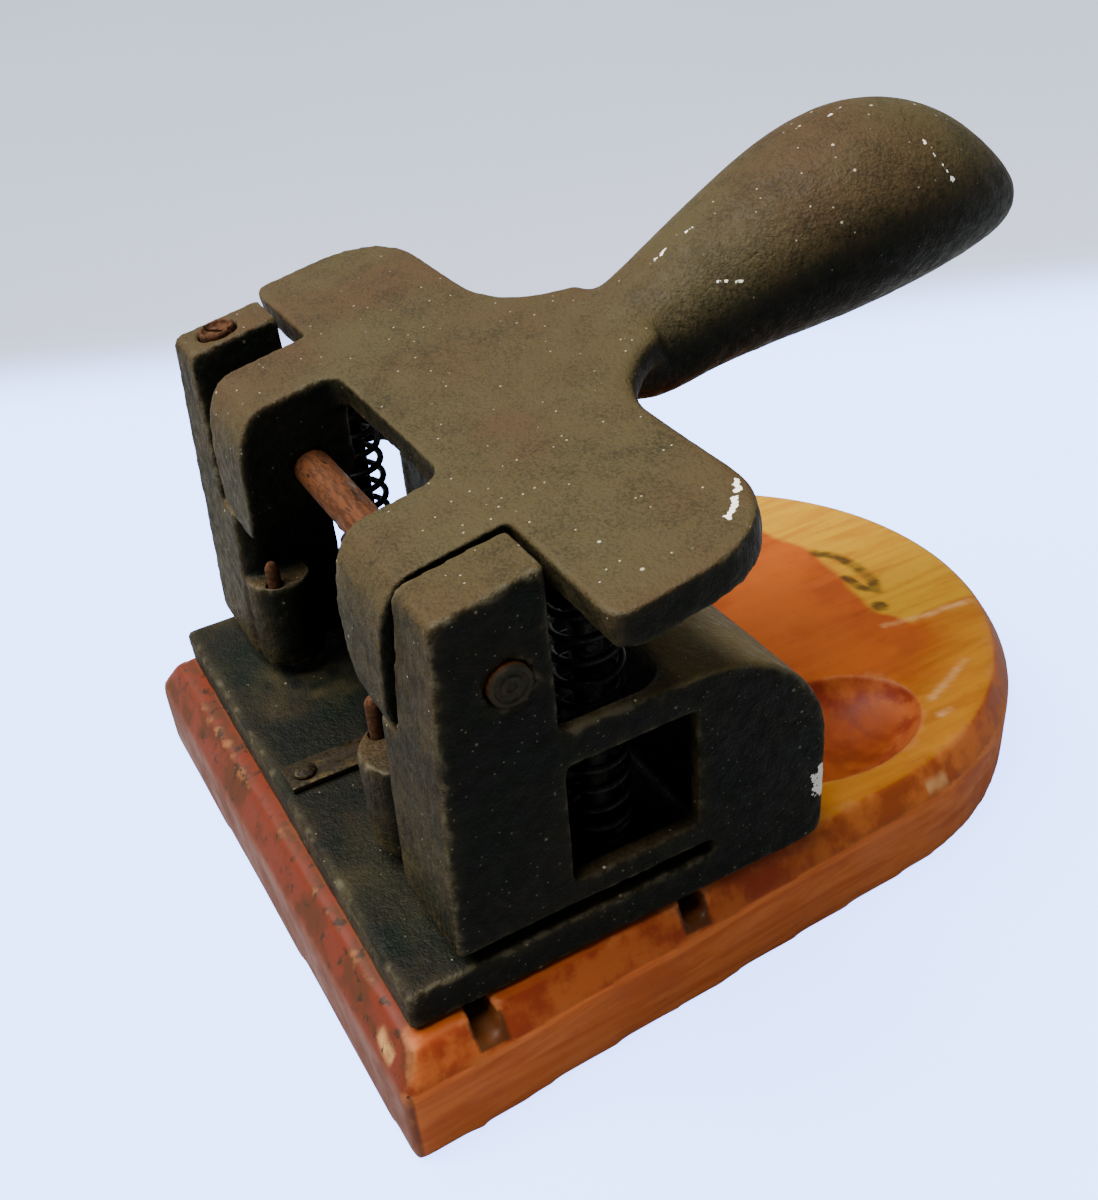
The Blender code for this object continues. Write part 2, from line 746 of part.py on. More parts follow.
def make_lever():
    pivot = (LEVER_SIDE_PLAY, SHAFT_Y, SHAFT_Z)
    tilt = (LEVER_TILT, 0.0, 0.0)
    lever = outline_object("lever", plate_outline(), PLATE_THICKNESS, pivot, tilt)
    lever.data.transform(Matrix.Translation((0.0, 0.0, (PLATE_TOP - PLATE_THICKNESS / 2) * MM)))
    for side, sign in (("left", -1.0), ("right", 1.0)):
        middle = (OPENING_HALF_WIDTH + EAR_OUTER_X) / 2
        location = Vector(pivot) + Vector((sign * middle, 0.0, 0.0))
        ear = outline_object(f"ear_{side}", ear_profile(), 30.0, location, LEVER_VIEW, cutter=True)
        outline = [(sign * x, z) for x, z in EAR_FRONTS[side]]
        front = outline_object(f"ear_front_{side}", outline, 80.0, pivot, LEVER_FRONT, cutter=True)
        boolean(ear, front, "INTERSECT")
        boolean(lever, ear, "UNION")
    handle = new_object("handle_form", handle_mesh(), pivot, tilt, cutter=True)
    boolean(lever, handle, "UNION")
    bore = cylinder_object(
        "lever_bore_cutter", SHAFT_BORE, 120.0, pivot, ALONG_X, segments=36, cutter=True
    )
    boolean(lever, bore)
    return finish_part(lever, IRON)


def make_shaft():
    half = SHAFT_HALF_LENGTH
    profile = [(0.0, half - 0.25), (1.5, half - 0.25), (1.7, half), (2.4, half)]
    profile += [(2.6, half - 0.25), (3.0, half - 0.25), (3.2, half), (SHAFT_RADIUS - 0.3, half)]
    profile += [(SHAFT_RADIUS, half - 0.3)]
    profile += [(radius, -height) for radius, height in reversed(profile)]
    shaft = turned_object(
        "pivot_shaft", profile, (0.0, SHAFT_Y, SHAFT_Z), ALONG_X, steps=36
    )
    return finish_part(shaft, COPPERED)


def make_set_screw():
    base, axis = set_screw_line()
    top = SET_SCREW_TOP
    sunk = top - 0.8
    foot = SET_SCREW_FOOT
    profile = [(0.0, sunk), (2.9, sunk), (3.3, top), (3.8, top), (SET_SCREW_RADIUS, top - 0.5)]
    profile += [(SET_SCREW_RADIUS, foot + 2.4), (1.8, foot), (0.0, foot)]
    screw = turned_object("shaft_set_screw", profile, base, (LEVER_TILT, 0.0, 0.0), steps=28)
    slot = box_object("set_screw_slot_cutter", (-4.5, -0.45, 16.3), (4.5, 0.45, 20.0), cutter=True)
    slot.location = (base + axis * top) * MM
    slot.rotation_euler = (LEVER_TILT, 0.0, 0.0)
    boolean(screw, slot)
    return finish_part(screw, RUST)


def make_punch(side, sign):
    spot = (sign * PUNCH_X, PUNCH_Y, 0.0)
    profile = [(0.0, PUNCH_TOP), (PUNCH_RADIUS - 0.4, PUNCH_TOP), (PUNCH_RADIUS, PUNCH_TOP - 0.4)]
    profile += [(PUNCH_RADIUS, PUNCH_TIP), (0.0, PUNCH_TIP)]
    punch = turned_object(f"punch_{side}", profile, spot, steps=28)
    finish_part(punch, STEEL)

    bore = PUNCH_RADIUS + GAP
    dome_centre = HEAD_TOP - HEAD_DOME
    profile = []
    for step in range(6):
        radius = (HEAD_RADIUS - 0.8) * step / 5
        profile.append((radius, dome_centre + math.sqrt(HEAD_DOME**2 - radius**2)))
    shoulder = profile[-1][1] - 0.9
    profile += [(HEAD_RADIUS, shoulder), (HEAD_RADIUS, HEAD_UNDERSIDE), (bore, HEAD_UNDERSIDE)]
    profile += [(bore, PUNCH_TOP + GAP), (0.0, PUNCH_TOP + GAP)]
    head = turned_object(f"punch_head_{side}", profile, spot, steps=28)
    finish_part(head, STEEL)

    seat = SILL_TOP + GAP
    washer = ring_object(
        f"spring_seat_{side}",
        PUNCH_RADIUS + GAP,
        SPRING_RADIUS + SPRING_WIRE + WASHER_OVERHANG,
        seat,
        seat + WASHER_THICKNESS,
        spot,
        steps=28,
    )
    finish_part(washer, STEEL)

    low = seat + WASHER_THICKNESS + GAP + SPRING_WIRE
    high = HEAD_UNDERSIDE - GAP - SPRING_WIRE
    make_spring(f"punch_spring_{side}", spot, low, high)

    bush_top = JAW_TOP - 0.2
    ring = ring_object(
        f"die_bush_{side}",
        PUNCH_RADIUS + SLIDE_GAP,
        BUSH_RADIUS,
        JAW_BOTTOM + 0.2,
        bush_top,
        spot,
        steps=32,
    )
    finish_part(ring, STEEL)


def make_pins():
    """Short round-nosed pins that stand in the bosses on the inside of the feet."""
    low = BOSS_TOP - PIN_DEPTH
    for side, x, y, top in PIN_SPOTS:
        profile = [(0.0, top), (0.9, top - 0.25), (PIN_RADIUS, top - 1.4)]
        profile += [(PIN_RADIUS, low), (0.0, low)]
        pin = turned_object(f"locating_pin_{side}", profile, (x, y, 0.0), steps=20)
        finish_part(pin, STEEL)


def make_spring(name, spot, low, high):
    """A compression spring with closed ends: the pitch is close over the first and last turn."""
    curve = bpy.data.curves.new(name, "CURVE")
    curve.dimensions = "3D"
    curve.bevel_depth = SPRING_WIRE * MM
    curve.bevel_resolution = 2
    curve.use_fill_caps = True
    per_turn = 9
    total = int(SPRING_TURNS * per_turn)
    closed_pitch = 2 * SPRING_WIRE + 0.35
    open_pitch = (high - low - 2 * closed_pitch) / (SPRING_TURNS - 2)
    spline = curve.splines.new("POLY")
    spline.points.add(total)
    height = low
    for index in range(total + 1):
        turn = index / per_turn
        angle = 2 * math.pi * turn
        x = SPRING_RADIUS * math.cos(angle)
        y = SPRING_RADIUS * math.sin(angle)
        spline.points[index].co = (x * MM, y * MM, height * MM, 1.0)
        pitch = closed_pitch if turn < 1.0 or turn >= SPRING_TURNS - 1 else open_pitch
        height += pitch / per_turn
    guide = new_object(name + "_guide", curve, spot)
    mesh = mesh_from_curve(guide, name)
    spring = new_object(name, mesh, spot)
    return finish_part(spring, STEEL)


def make_strip():
    low = JAW_TOP + GAP
    strip = box_object(
        "gauge_strip",
        (STRIP_X[0], STRIP_Y[0], low),
        (STRIP_X[1], STRIP_Y[1], low + STRIP_THICKNESS),
    )
    hole = cylinder_object(
        "strip_hole_cutter",
        STRIP_SCREW_RADIUS + GAP,
        6.0,
        (*STRIP_SCREW_SPOT, low),
        segments=16,
        cutter=True,
    )
    boolean(strip, hole)
    finish_part(strip, BRASS)
    under_head = low + STRIP_THICKNESS + GAP
    profile = [(0.0, under_head + 1.0), (1.4, under_head + 0.85), (2.6, under_head + 0.3)]
    foot = JAW_TOP - STRIP_SCREW_DEPTH
    profile += [(2.7, under_head), (STRIP_SCREW_RADIUS, under_head), (STRIP_SCREW_RADIUS, foot)]
    profile += [(0.0, foot)]
    screw = turned_object("gauge_screw", profile, (*STRIP_SCREW_SPOT, 0.0), steps=24)
    finish_part(screw, BRONZE)


def make_frame_screws():
    """Screws that hold the casting from below, with their heads sunk in the board."""
    for index, (x, y) in enumerate(SCREW_SPOTS):
        profile = [(0.0, 31.6), (1.6, 31.6), (2.2, 30.8), (2.2, 5.7), (4.7, 5.7)]
        profile += [(4.7, 3.4), (4.0, 2.6), (0.0, 2.6)]
        screw = turned_object(f"frame_screw_{index + 1}", profile, (x, y, 0.0), steps=20)
        slot = box_object(
            f"frame_screw_slot_cutter_{index + 1}",
            (x - 6.0, y - 0.6, 1.0),
            (x + 6.0, y + 0.6, 3.7),
            cutter=True,
        )
        boolean(screw, slot)
        finish_part(screw, STEEL)


make_board()
make_frame()
make_lever()
make_shaft()
make_set_screw()
for part_side, part_sign in (("left", -1.0), ("right", 1.0)):
    make_punch(part_side, part_sign)
make_pins()
make_strip()
make_frame_screws()
bpy.context.view_layer.update()
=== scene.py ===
"""Looks for the bench lever punch: worn castings, varnished board, springs and small fittings.

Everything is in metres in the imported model's frame: +Y towards the handle, +X right, +Z up,
origin at the centre of the board's underside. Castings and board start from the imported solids,
are remeshed finely, rounded by relaxing the mesh, and then given their surface grain as geometry.
"""
import math

import bmesh
import bpy
import numpy as np
from mathutils import Matrix, Vector


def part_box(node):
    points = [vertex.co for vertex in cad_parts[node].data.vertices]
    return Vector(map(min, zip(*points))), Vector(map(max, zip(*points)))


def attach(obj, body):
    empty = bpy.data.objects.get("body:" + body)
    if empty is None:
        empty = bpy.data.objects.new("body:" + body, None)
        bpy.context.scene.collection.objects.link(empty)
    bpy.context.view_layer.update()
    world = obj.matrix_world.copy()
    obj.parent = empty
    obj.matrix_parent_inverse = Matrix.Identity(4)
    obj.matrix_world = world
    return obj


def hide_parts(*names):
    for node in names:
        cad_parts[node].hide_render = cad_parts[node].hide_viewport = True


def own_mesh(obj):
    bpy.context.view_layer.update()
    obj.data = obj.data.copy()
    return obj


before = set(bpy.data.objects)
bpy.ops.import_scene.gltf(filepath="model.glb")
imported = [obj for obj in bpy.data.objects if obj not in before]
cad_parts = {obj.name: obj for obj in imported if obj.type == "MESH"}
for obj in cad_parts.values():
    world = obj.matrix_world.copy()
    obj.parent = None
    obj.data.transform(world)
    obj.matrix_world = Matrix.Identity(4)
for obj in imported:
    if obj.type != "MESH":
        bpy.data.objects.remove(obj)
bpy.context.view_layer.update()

MM = 0.001

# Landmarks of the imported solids
BOARD_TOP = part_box("base_board")[1].z
FRAME_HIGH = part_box("press_frame")[1]
SHAFT_LOW, SHAFT_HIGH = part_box("pivot_shaft")
SHAFT_CENTRE = (SHAFT_LOW + SHAFT_HIGH) / 2
SHAFT_RADIUS = (SHAFT_HIGH.z - SHAFT_LOW.z) / 2
FRONT_Y = -92.5 * MM  # the board's front edge; depths below are measured from it
LEVER_TILT = math.radians(10.25)
SHOULDER_Z = 76.0 * MM
SILL_TOP = 43.2 * MM
THROAT_TOP = 37.8 * MM
JAW_TOP = 34.7 * MM
CAVITY_HALF_X = 63.0 * MM
CAVITY_DEPTHS = (38.5 * MM, 68.0 * MM)
CHANNEL_FLOOR = 20.3 * MM
CHANNEL_DEPTHS = (18.0 * MM, 64.5 * MM)
TRAY_CENTRE = (41.0 * MM, 118.0 * MM)
TRAY_HALF = (15.5 * MM, 23.0 * MM)
ROUND_END_CENTRE = (-4.0 * MM, 118.5 * MM)
HANDLE_START = 40.0 * MM  # along the plate from the shaft
HANDLE_FULL = 50.0 * MM
SET_SCREW_X = -59.8 * MM
SET_SCREW_FORWARD = 0.8 * MM

# Springs
SPRING_RADIUS = 6.1 * MM
SPRING_WIRE = 0.78 * MM
SPRING_TURNS = 12.0
SPRING_POINTS_PER_TURN = 28

# Mesh settings
FRAME_VOXEL = 0.7 * MM
LEVER_VOXEL = 0.55 * MM
BOARD_VOXEL = 0.9 * MM
MERGE_DISTANCE = 1e-6
SHARP_ANGLE = math.radians(38)
CAST_GRAIN = 0.19 * MM
CAST_WAVES = 0.10 * MM
CAST_INSET = 0.12 * MM  # moves the surface in, so that less of the grain stands proud
UP = (0.0, 0.0, 1.0)

# Stage: the floor's sweep, the key light and the camera
FLOOR_REACH = 3.0
SWEEP_START = 0.165
SWEEP_RADIUS = 0.38
SWEEP_ANGLE = math.radians(72.0)
SWEEP_STEPS = 48
KEY_DIRECTION = (0.20, 0.36, -0.91)
KEY_ENERGY = 15.0
KEY_ANGLE = math.radians(50)
ROOM_STRENGTH = 0.40
CAMERA_PLACE = (0.2175, FRONT_Y - 0.0352, 0.2214)
CAMERA_YAW = math.radians(63.71)
CAMERA_PITCH = math.radians(34.53)
CAMERA_ROLL = math.radians(-5.11)
CAMERA_LENS = 40.31

# Colours, as scene-linear red, green and blue
FRAME_PAINT = (0.0022, 0.0026, 0.0018)
FRAME_WORN_AND_LIT = (0.0345, 0.0265, 0.0105)
LEVER_PAINT = (0.0026, 0.0029, 0.0019)
LEVER_WORN_AND_LIT = (0.0350, 0.0272, 0.0115)
IRON_DUST_AND_LIGHT = (0.115, 0.083, 0.030)
IRON_RUBBED = (0.046, 0.040, 0.024)
SPATTER = (0.26, 0.24, 0.17)
BARE_CHIP = (0.60, 0.57, 0.52)
PAINTED_SHADE = (0.0002, 0.0002, 0.0002)
HEART_COLOURS = ((0.185, 0.0340, 0.0018), (0.125, 0.0190, 0.0010))
HEART_CLOUD = (0.210, 0.0430, 0.0022)
SAP_COLOURS = ((0.255, 0.128, 0.0030), (0.205, 0.080, 0.0022))
TRAY_COLOURS = ((0.090, 0.0100, 0.0014), (0.160, 0.0270, 0.0022))
SIDE_COLOURS = ((0.43, 0.110, 0.024), (0.31, 0.062, 0.012))
BEVEL_COLOURS = ((0.125, 0.0150, 0.0045), (0.225, 0.0520, 0.0100))
FRONT_BEVEL_SHADE_COLOURS = ((0.062, 0.0100, 0.0036), (0.030, 0.0085, 0.0030))
FRONT_COLOURS = ((0.080, 0.0180, 0.0075), (0.062, 0.0135, 0.0055))
WOOD_RUBBED = (0.26, 0.100, 0.030)
WOOD_SCRATCH = (0.30, 0.160, 0.060)
WOOD_GRIME = (0.012, 0.007, 0.003)
WOOD_SCAR_AND_SHADE = (0.016, 0.009, 0.002)
WOOD_PORES = (0.060, 0.012, 0.002)
SHAFT_END_COLOURS = ((0.0130, 0.0120, 0.0075), (0.0210, 0.0150, 0.0085))
FLOOR_COLOURS = ((0.165, 0.240, 0.34), (0.175, 0.250, 0.35))
SWEEP_COLOURS = ((0.265, 0.300, 0.39), (0.280, 0.315, 0.41))
FLOOR_BOUNCE = (0.25, 0.26, 0.27)
FLOOR_GLOW = (0.28, 0.42, 1.0, 1.0)
FLOOR_GLOW_STRENGTH = 6.5

# Marks on the surfaces, in millimetres from the middle of the board's front edge
WING_CHIP = ((70.6, 71.4, 117.4), (73.7, 69.0, 117.1), (75.9, 66.7, 116.7), (77.4, 64.8, 116.3))
HANDLE_SCRATCHES = (
    ((6.6, 96.2, 126.4), (6.6, 99.2, 128.0), (5.6, 102.7, 129.9), (7.1, 106.6, 132.0)),
    ((18.1, 103.2, 125.1), (19.9, 106.1, 124.9), (21.3, 109.2, 124.8)),
    ((20.2, 150.2, 142.9), (22.7, 150.6, 140.9), (25.0, 151.9, 138.3), (26.6, 153.6, 135.4)),
    ((6.0, 139.0, 146.0), (4.4, 143.4, 146.8)),
)
SPOT_CENTRE = (12.1 * MM, 157.2 * MM)
JAW_RUST_CENTRE = (-29.0 * MM, 22.0 * MM)
SAP_EDGE_X = (-60.0, -24.6, -14.8, -2.6, 13.4, 20.4)
SAP_EDGE_Y = (150.0, 156.8, 158.7, 158.7, 154.6, 157.9)
BOARD_SCARS = (
    ((-16.1, 159.4), (-11.9, 162.7), (-5.3, 163.9), (2.2, 163.2), (6.2, 161.0)),
    ((6.2, 161.0), (3.5, 158.8), (-2.7, 158.5)),
)
BOARD_STREAKS = (
    ((19.0, 152.9), (21.3, 163.5), (22.6, 176.8)),
    ((39.9, 158.8), (43.3, 150.5), (46.4, 142.3)),
    ((51.6, 140.5), (51.0, 143.9)),
    ((63.9, 131.3), (64.5, 126.5)),
    ((59.9, 0.9), (64.9, 0.5)),
)


# ---------------------------------------------------------------- noise on vertices


def lattice(ix, iy, iz, seed):
    """A repeatable random value in -1..1 for each whole-number lattice point."""
    value = ix * 374761393 + iy * 668265263 + iz * 1442695041 + seed * 974634777
    value = (value ^ (value >> 13)) & 0xFFFFFFFF
    value = (value * 1274126177) & 0xFFFFFFFF
    value = (value ^ (value >> 16)) & 0xFFFF
    return value / 32767.5 - 1.0


def value_noise(points, size, seed):
    """Smooth noise in about -1..1 whose bumps are `size` metres apart."""
    scaled = points / size + 1000.0
    base = np.floor(scaled).astype(np.int64)
    part = scaled - base
    part = part * part * (3.0 - 2.0 * part)
    total = np.zeros(len(points))
    for dx in (0, 1):
        for dy in (0, 1):
            for dz in (0, 1):
                weight = np.abs(1 - dx - part[:, 0]) * np.abs(1 - dy - part[:, 1])
                weight = weight * np.abs(1 - dz - part[:, 2])
                corner = lattice(base[:, 0] + dx, base[:, 1] + dy, base[:, 2] + dz, seed)
                total += weight * corner
    return total


def smooth_step(low, high, value):
    t = np.clip((value - low) / (high - low), 0.0, 1.0)
    return t * t * (3.0 - 2.0 * t)


# ---------------------------------------------------------------- mesh tools


def link(obj):
    bpy.context.scene.collection.objects.link(obj)
    return obj


def baked_mesh(obj, name):
    """The mesh of an object after its modifiers, as a new plain mesh."""
    bpy.context.view_layer.update()
    evaluated = obj.evaluated_get(bpy.context.evaluated_depsgraph_get())
    mesh = bpy.data.meshes.new_from_object(evaluated)
    mesh.name = name
    return mesh


def fine_copy(node, voxel):
    """A closed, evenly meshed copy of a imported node, ready for rounding."""
    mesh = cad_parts[node].data.copy()
    mesh.materials.clear()
    bm = bmesh.new()
    bm.from_mesh(mesh)
    bmesh.ops.remove_doubles(bm, verts=bm.verts, dist=MERGE_DISTANCE)
    bm.to_mesh(mesh)
    bm.free()
    guide = link(bpy.data.objects.new(node + "_guide", mesh))
    remesh = guide.modifiers.new("remesh", "REMESH")
    remesh.mode = "VOXEL"
    remesh.voxel_size = voxel
    remesh.adaptivity = 0.0
    fine = baked_mesh(guide, node + "_fine")
    bpy.data.objects.remove(guide, do_unlink=True)
    return fine


def positions(mesh):
    co = np.empty(len(mesh.vertices) * 3)
    mesh.vertices.foreach_get("co", co)
    return co.reshape(-1, 3)


def set_positions(mesh, co):
    mesh.vertices.foreach_set("co", co.astype(np.float32).ravel())
    mesh.update()


def normals(mesh):
    out = np.empty(len(mesh.vertices) * 3, np.float32)
    mesh.vertex_normals.foreach_get("vector", out)
    return out.reshape(-1, 3).astype(float)


class Relaxer:
    """Moves vertices towards the mean of their neighbours, each by its own share."""

    def __init__(self, mesh):
        edges = np.empty(len(mesh.edges) * 2, np.int64)
        mesh.edges.foreach_get("vertices", edges)
        edges = edges.reshape(-1, 2)
        self.start = np.concatenate([edges[:, 0], edges[:, 1]])
        self.end = np.concatenate([edges[:, 1], edges[:, 0]])
        self.count = len(mesh.vertices)
        self.degree = np.bincount(self.start, minlength=self.count).clip(1)

    def mean(self, values):
        columns = []
        for column in values.T:
            columns.append(np.bincount(self.start, column[self.end], minlength=self.count))
        return np.stack(columns, 1) / self.degree[:, None]

    def relax(self, co, share, rounds):
        for _ in range(rounds):
            co = co + share[:, None] * (self.mean(co) - co)
        return co


def near_line(points, line, inner, outer):
    """1 within `inner` of a line through given points, falling to 0 at `outer`; all in metres."""
    nearest = np.full(len(points), np.inf)
    for start, end in zip(line, line[1:]):
        start = np.array(start) * MM
        along = np.array(end) * MM - start
        share = np.clip((points - start) @ along / (along @ along), 0.0, 1.0)
        nearest = np.minimum(nearest, np.linalg.norm(points - start - share[:, None] * along, axis=1))
    return smooth_step(outer, inner, nearest)


def add_attributes(mesh, **named):
    """Stores one number per vertex under each name, for a material to read."""
    for name, values in named.items():
        attribute = mesh.attributes.new(name, "FLOAT", "POINT")
        attribute.data.foreach_set("value", values.astype(np.float32))


def tray_distance(x, y):
    """1 on the rim of the board's oval tray, less inside it."""
    return np.hypot((x - TRAY_CENTRE[0]) / TRAY_HALF[0], (y - TRAY_CENTRE[1]) / TRAY_HALF[1])


def edge_and_hollow(mesh, relaxer, rounds, scale):
    """How far each vertex stands out of its smoothed surroundings, and how far it lies in: 0 to 1."""
    co = positions(mesh)
    smooth = relaxer.relax(co, np.full(len(co), 0.5), rounds)
    height = np.einsum("ij,ij->i", co - smooth, normals(mesh))
    return np.clip(height / scale, 0.0, 1.0), np.clip(-height / scale, 0.0, 1.0)


def make_piece(name, mesh, material, body, nodes):
    """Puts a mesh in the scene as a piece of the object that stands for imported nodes."""
    mesh.materials.clear()
    mesh.materials.append(material)
    obj = link(bpy.data.objects.new(name, mesh))
    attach(obj, body)
    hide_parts(*nodes)
    return obj


# ---------------------------------------------------------------- material tools


class Nodes:
    """Short names for building a node tree."""

    def __init__(self, name):
        self.material = bpy.data.materials.new(name)
        self.material.use_nodes = True
        self.tree = self.material.node_tree
        self.shader = self.tree.nodes["Principled BSDF"]
        self.coords = self.tree.nodes.new("ShaderNodeTexCoord").outputs["Object"]

    def add(self, kind, **settings):
        node = self.tree.nodes.new(kind)
        for key, value in settings.items():
            setattr(node, key, value)
        return node

    def join(self, source, target):
        if isinstance(source, (int, float)):
            target.default_value = source
        elif isinstance(source, tuple):
            target.default_value = (*source, 1.0) if len(source) == 3 else source
        else:
            self.tree.links.new(source, target)

    def stretch(self, scale):
        node = self.add("ShaderNodeMapping")
        self.join(self.coords, node.inputs["Vector"])
        node.inputs["Scale"].default_value = scale
        return node.outputs["Vector"]

    def noise(self, size, detail=3.0, rough=0.55, vector=None, distortion=0.0):
        """Noise whose bumps are about `size` millimetres wide."""
        node = self.add("ShaderNodeTexNoise")
        self.join(vector or self.coords, node.inputs["Vector"])
        node.inputs["Scale"].default_value = 1000.0 / size
        node.inputs["Detail"].default_value = detail
        node.inputs["Roughness"].default_value = rough
        node.inputs["Distortion"].default_value = distortion
        return node.outputs["Fac"]

    def cells(self, size):
        """Distance to the middle of cells about `size` millimetres wide, and a colour for each cell."""
        node = self.add("ShaderNodeTexVoronoi", feature="F1")
        self.join(self.coords, node.inputs["Vector"])
        node.inputs["Scale"].default_value = 1000.0 / size
        return node.outputs["Distance"], node.outputs["Color"]

    def first_channel(self, colour):
        node = self.add("ShaderNodeSeparateColor")
        self.join(colour, node.inputs[0])
        return node.outputs[0]

    def ramp(self, factor, low, high, to_low=0.0, to_high=1.0):
        node = self.add("ShaderNodeMapRange", interpolation_type="SMOOTHSTEP")
        self.join(factor, node.inputs["Value"])
        node.inputs["From Min"].default_value = low
        node.inputs["From Max"].default_value = high
        node.inputs["To Min"].default_value = to_low
        node.inputs["To Max"].default_value = to_high
        return node.outputs["Result"]

    def maths(self, operation, first, second=0.0, clamp=False):
        node = self.add("ShaderNodeMath", operation=operation, use_clamp=clamp)
        self.join(first, node.inputs[0])
        self.join(second, node.inputs[1])
        return node.outputs["Value"]

    def mix(self, factor, first, second):
        node = self.add("ShaderNodeMix", data_type="RGBA", clamp_factor=True)
        self.join(factor, node.inputs["Factor"])
        self.join(first, node.inputs[6])
        self.join(second, node.inputs[7])
        return node.outputs[2]

    def attribute(self, name):
        return self.add("ShaderNodeAttribute", attribute_name=name).outputs["Fac"]

    def bump(self, height, distance, strength):
        node = self.add("ShaderNodeBump")
        self.join(height, node.inputs["Height"])
        node.inputs["Distance"].default_value = distance
        node.inputs["Strength"].default_value = strength
        return node.outputs["Normal"]

    def finish(self, colour, roughness, normal, metallic=0.0, **fixed):
        self.join(colour, self.shader.inputs["Base Color"])
        self.join(roughness, self.shader.inputs["Roughness"])
        self.join(metallic, self.shader.inputs["Metallic"])
        if normal is not None:
            self.join(normal, self.shader.inputs["Normal"])
        for key, value in fixed.items():
            self.shader.inputs[key.replace("_", " ")].default_value = value
        return self.material


def iron_material(name, black, worn, worn_share):
    """Old black paint on a casting: worn and dusty where the wear and dust attributes say, which also paints
    light on tops, fronts and the housing's roof; painted shade nearly black where `deep` says; pale specks
    and chips.
    """
    n = Nodes(name)
    wear, edge, chip, dust, deep = map(n.attribute, ("wear", "edge", "chip", "dust", "deep"))
    grainy = n.noise(0.7, 3.0, 0.6, n.stretch((1.0, 1.0, 0.16)))
    broad = n.noise(22.0, 4.0)
    blotch = n.noise(6.0, 4.0, 0.6)
    sand = n.noise(0.55, 2.0)
    grain = n.noise(1.5, 4.0, 0.6, distortion=0.4)

    uneven = n.maths("ADD", n.ramp(broad, 0.3, 0.7, -0.16, 0.16), n.ramp(blotch, 0.3, 0.7, -0.14, 0.14))
    # The worn colour's share: worn paint, which is partly painted light on tops and fronts, and rubbed edges
    share = n.maths("ADD", n.maths("MULTIPLY", wear, worn_share), n.maths("MULTIPLY", edge, 0.55))
    share = n.maths("ADD", share, n.maths("MULTIPLY", uneven, n.ramp(wear, 0.0, 0.5, 0.25, 1.0)))
    sanded = n.maths("MULTIPLY", n.ramp(sand, 0.35, 0.65, -0.5, 0.5), n.ramp(wear, 0.05, 0.6, 0.05, 0.32))
    share = n.maths("ADD", share, sanded)
    streaked = n.maths("MULTIPLY", n.ramp(grainy, 0.3, 0.7, -0.16, 0.16), n.ramp(wear, 0.1, 0.4))
    share = n.maths("ADD", share, streaked, clamp=True)
    greener = tuple(c * 0.6 for c in (black[0], black[1] * 1.9, black[2] * 1.5))
    green = n.mix(n.ramp(n.noise(14.0, 3.0), 0.4, 0.65), black, greener)
    redder = (worn[0] * 1.02, worn[1] * 0.80, worn[2] * 0.84)
    brown = n.mix(n.ramp(n.noise(30.0, 2.0), 0.35, 0.7), worn, redder)
    colour = n.mix(share, green, brown)
    # Dust, which on the housing's roof is also painted light
    colour = n.mix(dust, colour, IRON_DUST_AND_LIGHT)
    rubbed = n.maths("MULTIPLY", n.ramp(edge, 0.22, 0.60), n.ramp(n.noise(2.2, 3.0), 0.40, 0.56, 0.0, 0.8))
    colour = n.mix(rubbed, colour, IRON_RUBBED)

    # Tiny spatters of white paint, and the larger chips
    distance, colours = n.cells(5.2)
    pick = n.ramp(n.first_channel(colours), 0.52, 0.60)
    dots = n.maths("MULTIPLY", n.ramp(distance, 0.035, 0.085, 1.0, 0.0), pick)
    fine_distance, fine_colours = n.cells(1.9)
    fine_pick = n.ramp(n.first_channel(fine_colours), 0.70, 0.78)
    fine_dots = n.maths("MULTIPLY", n.ramp(fine_distance, 0.06, 0.13, 0.75, 0.0), fine_pick)
    specks = n.maths("MAXIMUM", dots, fine_dots)
    specks = n.maths("MULTIPLY", specks, n.ramp(wear, 0.1, 0.6, 0.35, 1.0))
    colour = n.mix(specks, colour, SPATTER)
    flake = n.ramp(n.maths("ADD", chip, n.ramp(n.noise(1.6, 3.0), 0.3, 0.7, -0.35, 0.35)), 0.42, 0.5)
    colour = n.mix(flake, colour, BARE_CHIP)
    # Painted shade: nearly black where `deep` says, in the frame's cavity and under the lever
    colour = n.mix(deep, colour, PAINTED_SHADE)

    roughness = n.ramp(n.noise(2.6, 3.0), 0.3, 0.7, 0.40, 0.60)
    roughness = n.maths("ADD", roughness, n.maths("MULTIPLY", wear, 0.06))
    height = n.maths("ADD", grain, n.maths("MULTIPLY", sand, 0.45))
    normal = n.bump(height, 0.0004, 1.0)
    return n.finish(colour, roughness, normal, 0.0, Specular_IOR_Level=0.05)


